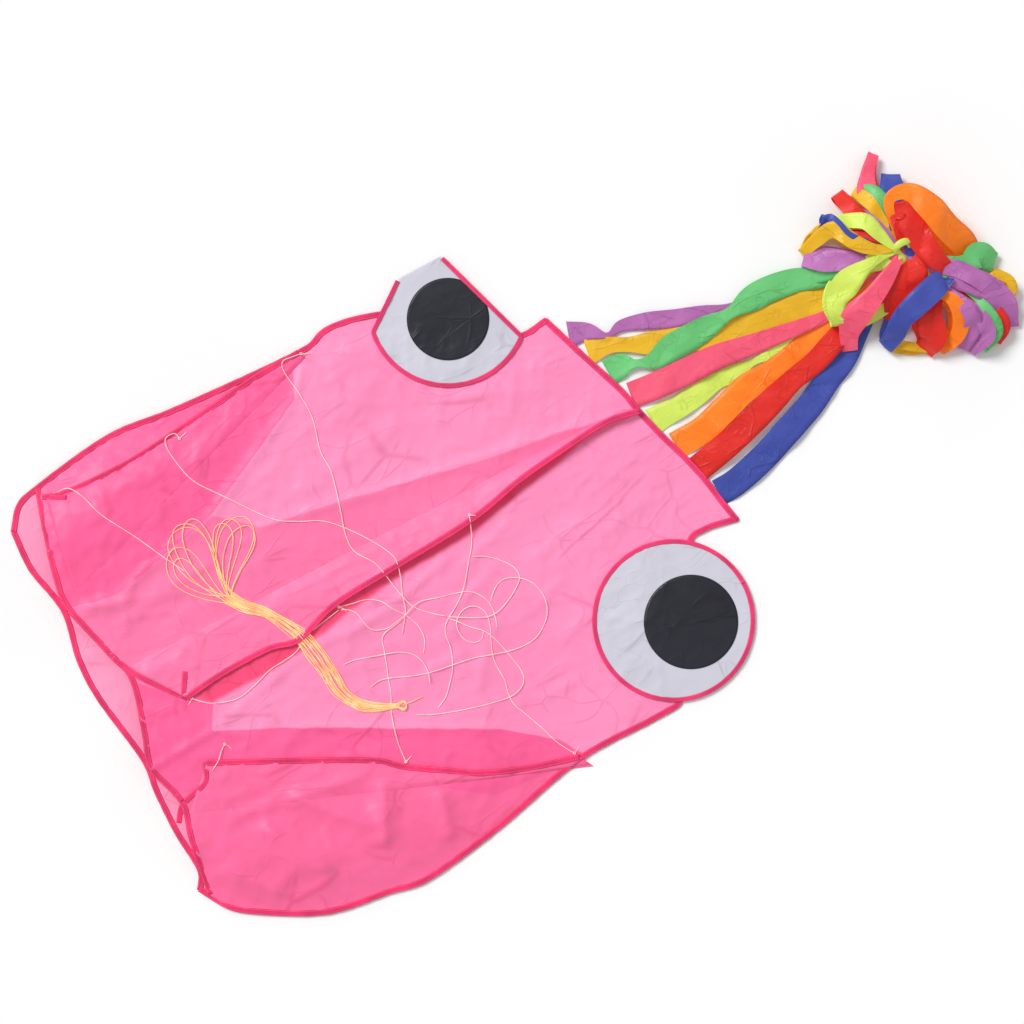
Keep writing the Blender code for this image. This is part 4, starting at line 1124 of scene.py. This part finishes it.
def ribbon_mesh(path, widths, flip, seed, high=0.0036):
    """Points of a ribbon that lies folded lengthwise under itself wherever it looks narrow from above."""
    points, along, across = [], [], []
    passed = 0.0
    for i, (p, (_, side, up)) in enumerate(zip(path, frames(path))):
        passed += math.dist(path[i - 1], p) if i else 0.0
        seen = min(RIBBON_WIDTH - 0.001, max(NARROWEST, widths[i]))
        for k in range(TOP_COLUMNS + UNDER_COLUMNS):
            if k < TOP_COLUMNS:
                s = place = seen * k / (TOP_COLUMNS - 1)
                turn = 0
            else:
                s = seen + (RIBBON_WIDTH - seen) * (k - TOP_COLUMNS + 1) / UNDER_COLUMNS
                turn, rest = divmod(s - 1e-9, seen)
                place = seen - rest if turn % 2 else rest
            off = flip * (place - seen / 2)
            lift = facet(passed + 0.9 * off, seed, high=high)
            lift += 0.6 * facet(passed - 1.3 * off, seed + 3, 0.031, high)
            points.append(Vector(p) + side * off + up * (lift - 0.0007 * turn))
            along.append(passed)
            across.append(s / RIBBON_WIDTH)
    return points, grid_faces(len(path), TOP_COLUMNS + UNDER_COLUMNS), along, across


def add_ribbon(name, mesh, colour, lowest):
    """A ribbon or a heap of ribbons, held between the floor and the bundle's greatest height."""
    points, faces, along, across = mesh
    points = [Vector((p.x, p.y, min(HIGHEST, max(lowest, p.z)))) for p in points]
    made = add_mesh(name, points, faces, RIBBON[colour], {"along": along, "across": across}, thick=CLOTH)
    made.data.set_sharp_from_angle(angle=FOLD_ANGLE)
    return made


def make_streamers():
    for seed, (name, (layer, line)) in enumerate(STREAMERS.items()):
        curve = fine([(x, y, w, 0.0) for x, y, w in line] + [(KNOT[0], KNOT[1], 0.010, 0.0)], 0.006)
        path, widths = [], []
        for i, (x, y, w, _) in enumerate(curve):
            share = i / (len(curve) - 1)
            gather = ease((x - 0.50) / 0.12)
            low = 0.0022 + layer * 0.0030 * ease(share * 8)
            ripple_up = 0.0030 * ease(share * 8) * (1 + noise.noise(Vector((x * 22, y * 22, seed))))
            path.append((x, y, low + ripple_up + (KNOT[2] - 0.016) * gather))
            widths.append(w)
        flip = -1 if name in ("gold", "lime", "orange") else 1
        strip = add_ribbon(name + "_ribbon", ribbon_mesh(path, widths, flip, seed * 5.0), name, 0.0007)
        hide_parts(name + "_streamer")
        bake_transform(strip)


def loop_path(points):
    """A bundle loop: out along its points, round, and back underneath to the knot."""
    before, (x, y, w, z) = points[-2:]
    dx, dy = x - before[0], y - before[1]
    size = math.hypot(dx, dy)
    w = max(w, 0.8 * before[2])
    out = [(KNOT[0], KNOT[1], 0.013, KNOT[2] * 1000), *points[:-1], (x, y, w, z)]
    back = [
        (x + dx / size * 0.004, y + dy / size * 0.004, w, max(5, z * 0.62)),
        (x - dx / size * 0.004, y - dy / size * 0.004, w, max(3, z * 0.35)),
    ]
    for px, py, pw, pz in reversed(points[:-1]):
        back.append((px + dy / size * 0.006, py - dx / size * 0.006, pw * 0.9, max(3.0, pz * 0.40)))
    return out + back + [(KNOT[0], KNOT[1], 0.013, KNOT[2] * 600)]


def make_bundle():
    rng = random.Random(8)
    loops = {name: [] for name in RIBBONS}
    for name, points in LOOPS:
        loops[name].append([(x / 1000, y / 1000, w / 1000, z) for x, y, w, z in points])
    for n, name in enumerate(RIBBONS):
        for k in range(FILL_LOOPS):
            angle = math.radians((n * 45 + k * 73) % 360 + rng.uniform(-12, 12))
            reach = rng.uniform(0.028, 0.060)
            bend = rng.uniform(-0.5, 0.5)
            fill = []
            for t in (0.35, 0.7, 1.0):
                heading = angle + bend * t
                fill.append((
                    KNOT[0] + reach * t * math.cos(heading), KNOT[1] + reach * t * math.sin(heading),
                    rng.uniform(0.014, 0.028), 26 - 16 * t,
                ))
            loops[name].append(fill)
    for n, name in enumerate(RIBBONS):
        points, faces, along, across = [], [], [], []
        for k, loop in enumerate(loops[name]):
            curve = fine([(x, y, w, z / 1000) for x, y, w, z in loop_path(loop)], 0.005)
            path = [(x, y, z) for x, y, w, z in curve]
            widths = [w for x, y, w, z in curve]
            flip = -1 if (n + k) % 2 else 1
            made = ribbon_mesh(path, widths, flip, n * 3.0 + k, high=0.0055)
            faces += [tuple(v + len(points) for v in face) for face in made[1]]
            points += made[0]
            along += made[2]
            across += made[3]
        heap = add_ribbon(name + "_loops", (points, faces, along, across), name, 0.0006)
        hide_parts(name + "_streamer_bundle")
        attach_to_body(heap, "tail")


def make_knot():
    turns, path = 3, []
    for i in range(turns * 26 + 1):
        a = 2 * math.pi * i / 26
        r = 0.0095 + 0.0016 * noise.noise(Vector((i * 0.13, 2.0, 0.0)))
        y = KNOT[1] + 0.5 * r * math.sin(a) + 0.0035 * (i / 26 - turns / 2) / turns
        path.append((KNOT[0] + r * 1.15 * math.cos(a), y, KNOT[2] + 0.006 + r * 0.75 * math.sin(a)))
    knot = sweep("bundle_knot", path, lambda distance: oval(0.0042, 0.0016), RIBBON["lime"])
    attach(knot, "bundle_tie", "tail")


# Bridle


LAID = []  # points of the lines laid so far


def settle(plan):
    """Heights for a line that lies on what is under it and passes over earlier lines in low humps."""
    need = []
    for x, y in plan:
        z = top(x, y) + LINE / 2 + GAP
        for px, py, pz in LAID:
            if abs(px - x) < 0.0024 and abs(py - y) < 0.0024:
                z = max(z, pz + LINE * 1.15)
        need.append(z)
    reach = 3
    spread = [max(need[max(0, i - reach):i + reach + 1]) for i in range(len(need))]
    path = levelled([(x, y, z) for (x, y), z in zip(plan, spread)], reach)
    LAID.extend(path)
    return path


def line_curve(name, path, material):
    curve = bpy.data.curves.new(name, "CURVE")
    curve.dimensions = "3D"
    curve.bevel_depth = LINE / 2
    curve.bevel_resolution = 2
    curve.use_fill_caps = True
    spline = curve.splines.new("POLY")
    spline.points.add(len(path) - 1)
    for point, p in zip(spline.points, path):
        point.co = (*p, 1.0)
    curve.materials.append(material)
    obj = bpy.data.objects.new(name, curve)
    bpy.context.scene.collection.objects.link(obj)
    return obj


def tube(name, path, material, diameter=LINE, sides=8):
    return sweep(name, path, lambda distance: oval(diameter / 2, diameter / 2, sides), material)


def tie(name, at, towards, body):
    """A small knot with a cut tail, where a line is tied to a keel's hem."""
    x, y, z = at
    path = []
    for i in range(25):
        a = 2 * math.pi * i / 12
        path.append((x + 0.0017 * math.cos(a), y + 0.0017 * math.sin(a), z + GAP + 0.0011 * i / 24))
    dx, dy = towards
    for i in range(1, 8):
        t = i / 7
        px, py = x + dx * t + 0.002 * math.sin(2.5 * t), y + dy * t
        under = top(px, py)
        path.append((px, py, max(under + LINE / 2 + 0.0003, z * (1 - t) + (under + 0.001) * t)))
    knot = tube(name, path, LINE_BRAID, LINE * 0.95, 6)
    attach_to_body(knot, body)
    return knot


TIES = {  # lines that are tied to a keel, and which way the knot's tail points
    "line_left_front": (0.006, -0.010), "line_left_middle": (0.012, 0.004),
    "line_left_rear": (0.010, -0.006), "line_middle_front": (-0.010, -0.006),
    "line_middle_centre": (0.006, -0.011), "line_middle_rear": (0.010, -0.009),
    "line_right_front": (0.004, -0.012), "line_right_middle": (0.010, 0.004),
    "line_right_rear": (0.009, 0.006),
}


def make_lines():
    for name, route in LINES.items():
        path = settle(fine(route, 0.004))
        body, bends = "right_keel" if name == "line_right_front" else "kite_body", name in BLENDED_LINES
        cord = (tube if bends else line_curve)(name + "_cord", path, LINE_BRAID)
        knots = []
        if name in TIES:
            tied_to = BLENDED_LINES[name][0] if bends else body
            knots = [tie(name + "_tie", path[0], TIES[name], tied_to)]
        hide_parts(name)
        if bends:
            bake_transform(cord)
        else:
            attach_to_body(cord, body)


def rear_fold(start, end, plan):
    """The small round turn at the hank's rear end, between one run and the next."""
    dx, dy = plan[-1][0] - plan[-2][0], plan[-1][1] - plan[-2][1]
    size = math.hypot(dx, dy)
    dx, dy = dx / size, dy / size
    sign = 1 if (start[0] - end[0]) * -dy + (start[1] - end[1]) * dx > 0 else -1
    fold = []
    for k in range(1, 12):
        a = 2 * math.pi * k / 12
        share = (1 - math.cos(a)) / 2
        out, wide = 0.014 * share, sign * 0.0075 * math.sin(a) * share ** 0.7
        x, y, level = between(start, end, k / 12)
        fold.append((x + dx * out - dy * wide, y + dy * out + dx * wide, level))
    return fold


def hank_route():
    """One line folded back and forth: tight runs beside each other, with loose loops at the front."""
    middle = fine(HANK, 0.008)
    plan = [(p[0], p[1]) for p in middle]
    run_count = 2 * len(HANK_LOOPS)
    route = []
    for turn, (heading, far, half_loop) in enumerate(HANK_LOOPS):
        ahead = (math.cos(math.radians(heading)), math.sin(math.radians(heading)))
        runs = []
        for way in (0, 1):
            number = 2 * turn + way
            column = number * 7 % run_count / (run_count - 1) * 2 - 1  # neighbours aren't side by side
            run = []
            for i, (x, y, half) in enumerate(middle):
                t = i / (len(middle) - 1)
                sx, sy = sideways(plan, i)
                stray = 0.0075 * math.sin(math.pi * t) * noise.noise(Vector((t * 5, number, 3.0)))
                aim = column * half + stray
                run.append((x + sx * aim, y + sy * aim, number // 7))
            runs.append(run)
        if route:
            route += rear_fold(route[-1], runs[0][-1], plan)
        loop = []
        for k in range(1, 22):
            a = 2 * math.pi * k / 22
            share = (1 - math.cos(a)) / 2
            out = far * share
            wide = half_loop * 1.5 * math.sin(a) * share ** 0.7
            wide += HANK_LEAN * math.sin(math.pi * share) * (1 - share)
            wide += 0.006 * share * noise.noise(Vector((k * 0.22, turn * 1.7, 9.0)))
            x, y, _ = between(runs[0][0], runs[1][0], k / 22)
            x, y = x + ahead[0] * out - ahead[1] * wide, y + ahead[1] * out + ahead[0] * wide
            loop.append((x, y, turn // 4))
        route += runs[0][::-1] + loop + runs[1]
    return route


def make_hank():
    route = hank_route()
    plan = fine([(x, y, level) for x, y, level in route], 0.004)
    path = levelled(
        [(x, y, top(x, y) + LINE / 2 + 0.0006 + level * LINE * 0.95) for x, y, level in plan], 2,
    )
    hank = line_curve("hank_cord", path, HANK_BRAID)
    attach(hank, "bridle_hank")
    end_path = settle(fine(HANK_END, 0.003))
    end = line_curve("hank_tail_cord", end_path, HANK_BRAID)
    attach(end, "hank_tail")
    knot_path, (x, y) = [], HANK_END[0]
    for i in range(14 * 3):
        a = i * 2 * math.pi / 14
        z = path[0][2] + 0.0012 + 0.0022 * math.sin(a * 0.9)
        knot_path.append((x + 0.0032 * math.cos(a), y + 0.0030 * math.sin(a), z))
    knot = tube("tow_knot", knot_path, HANK_BRAID, LINE * 1.3)
    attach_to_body(knot, "kite_body")


# Stage


def make_stage():
    shader = Shader("studio_floor")
    shade = shader.ramp(shader.noise(3.0, 2.0), 0.3, 0.7)
    paint = shader.mix(shade, (0.955, 0.955, 0.955), (0.965, 0.965, 0.965))
    material = shader.finish(paint, 0.9, shader.bump(shader.noise(200.0), 0.02, 0.001), 0.0, 0.0)
    size = 6.0
    corners = [(-size, -size, 0), (size, -size, 0), (size, size, 0), (-size, size, 0)]
    floor = add_mesh("floor", corners, [(0, 1, 2, 3)], material)

    world = bpy.data.worlds.new("studio")
    world.use_nodes = True
    back = world.node_tree.nodes["Background"]
    back.inputs["Color"].default_value = (1.0, 1.0, 1.0, 1.0)
    back.inputs["Strength"].default_value = 0.52
    bpy.context.scene.world = world
    lamp = bpy.data.lights.new("key", "SUN")
    lamp.energy = 2.3
    lamp.angle = math.radians(24)
    key = bpy.data.objects.new("key", lamp)
    bpy.context.scene.collection.objects.link(key)
    key.rotation_euler = Vector((0.40, -0.95, -1.05)).to_track_quat("-Z", "Y").to_euler()
    bpy.context.scene.view_settings.view_transform = "Standard"


def make_camera():
    data = bpy.data.cameras.new("camera")
    data.lens, data.sensor_width = LENS, SENSOR
    camera = bpy.data.objects.new("camera", data)
    bpy.context.scene.collection.objects.link(camera)
    camera.location = (*VIEW_CENTRE, VIEW_WIDTH * LENS / SENSOR + 0.012)
    camera.rotation_euler = (0, 0, math.radians(VIEW_TURN))
    bpy.context.scene.camera = camera


make_camera()
make_stage()
back_skin, belly_skin = make_skins()
make_ribs()
make_tapes()
fins = make_keels()
make_front_hems()
make_eyes()
make_knot()
make_streamers()
make_bundle()
make_lines()
make_hank()
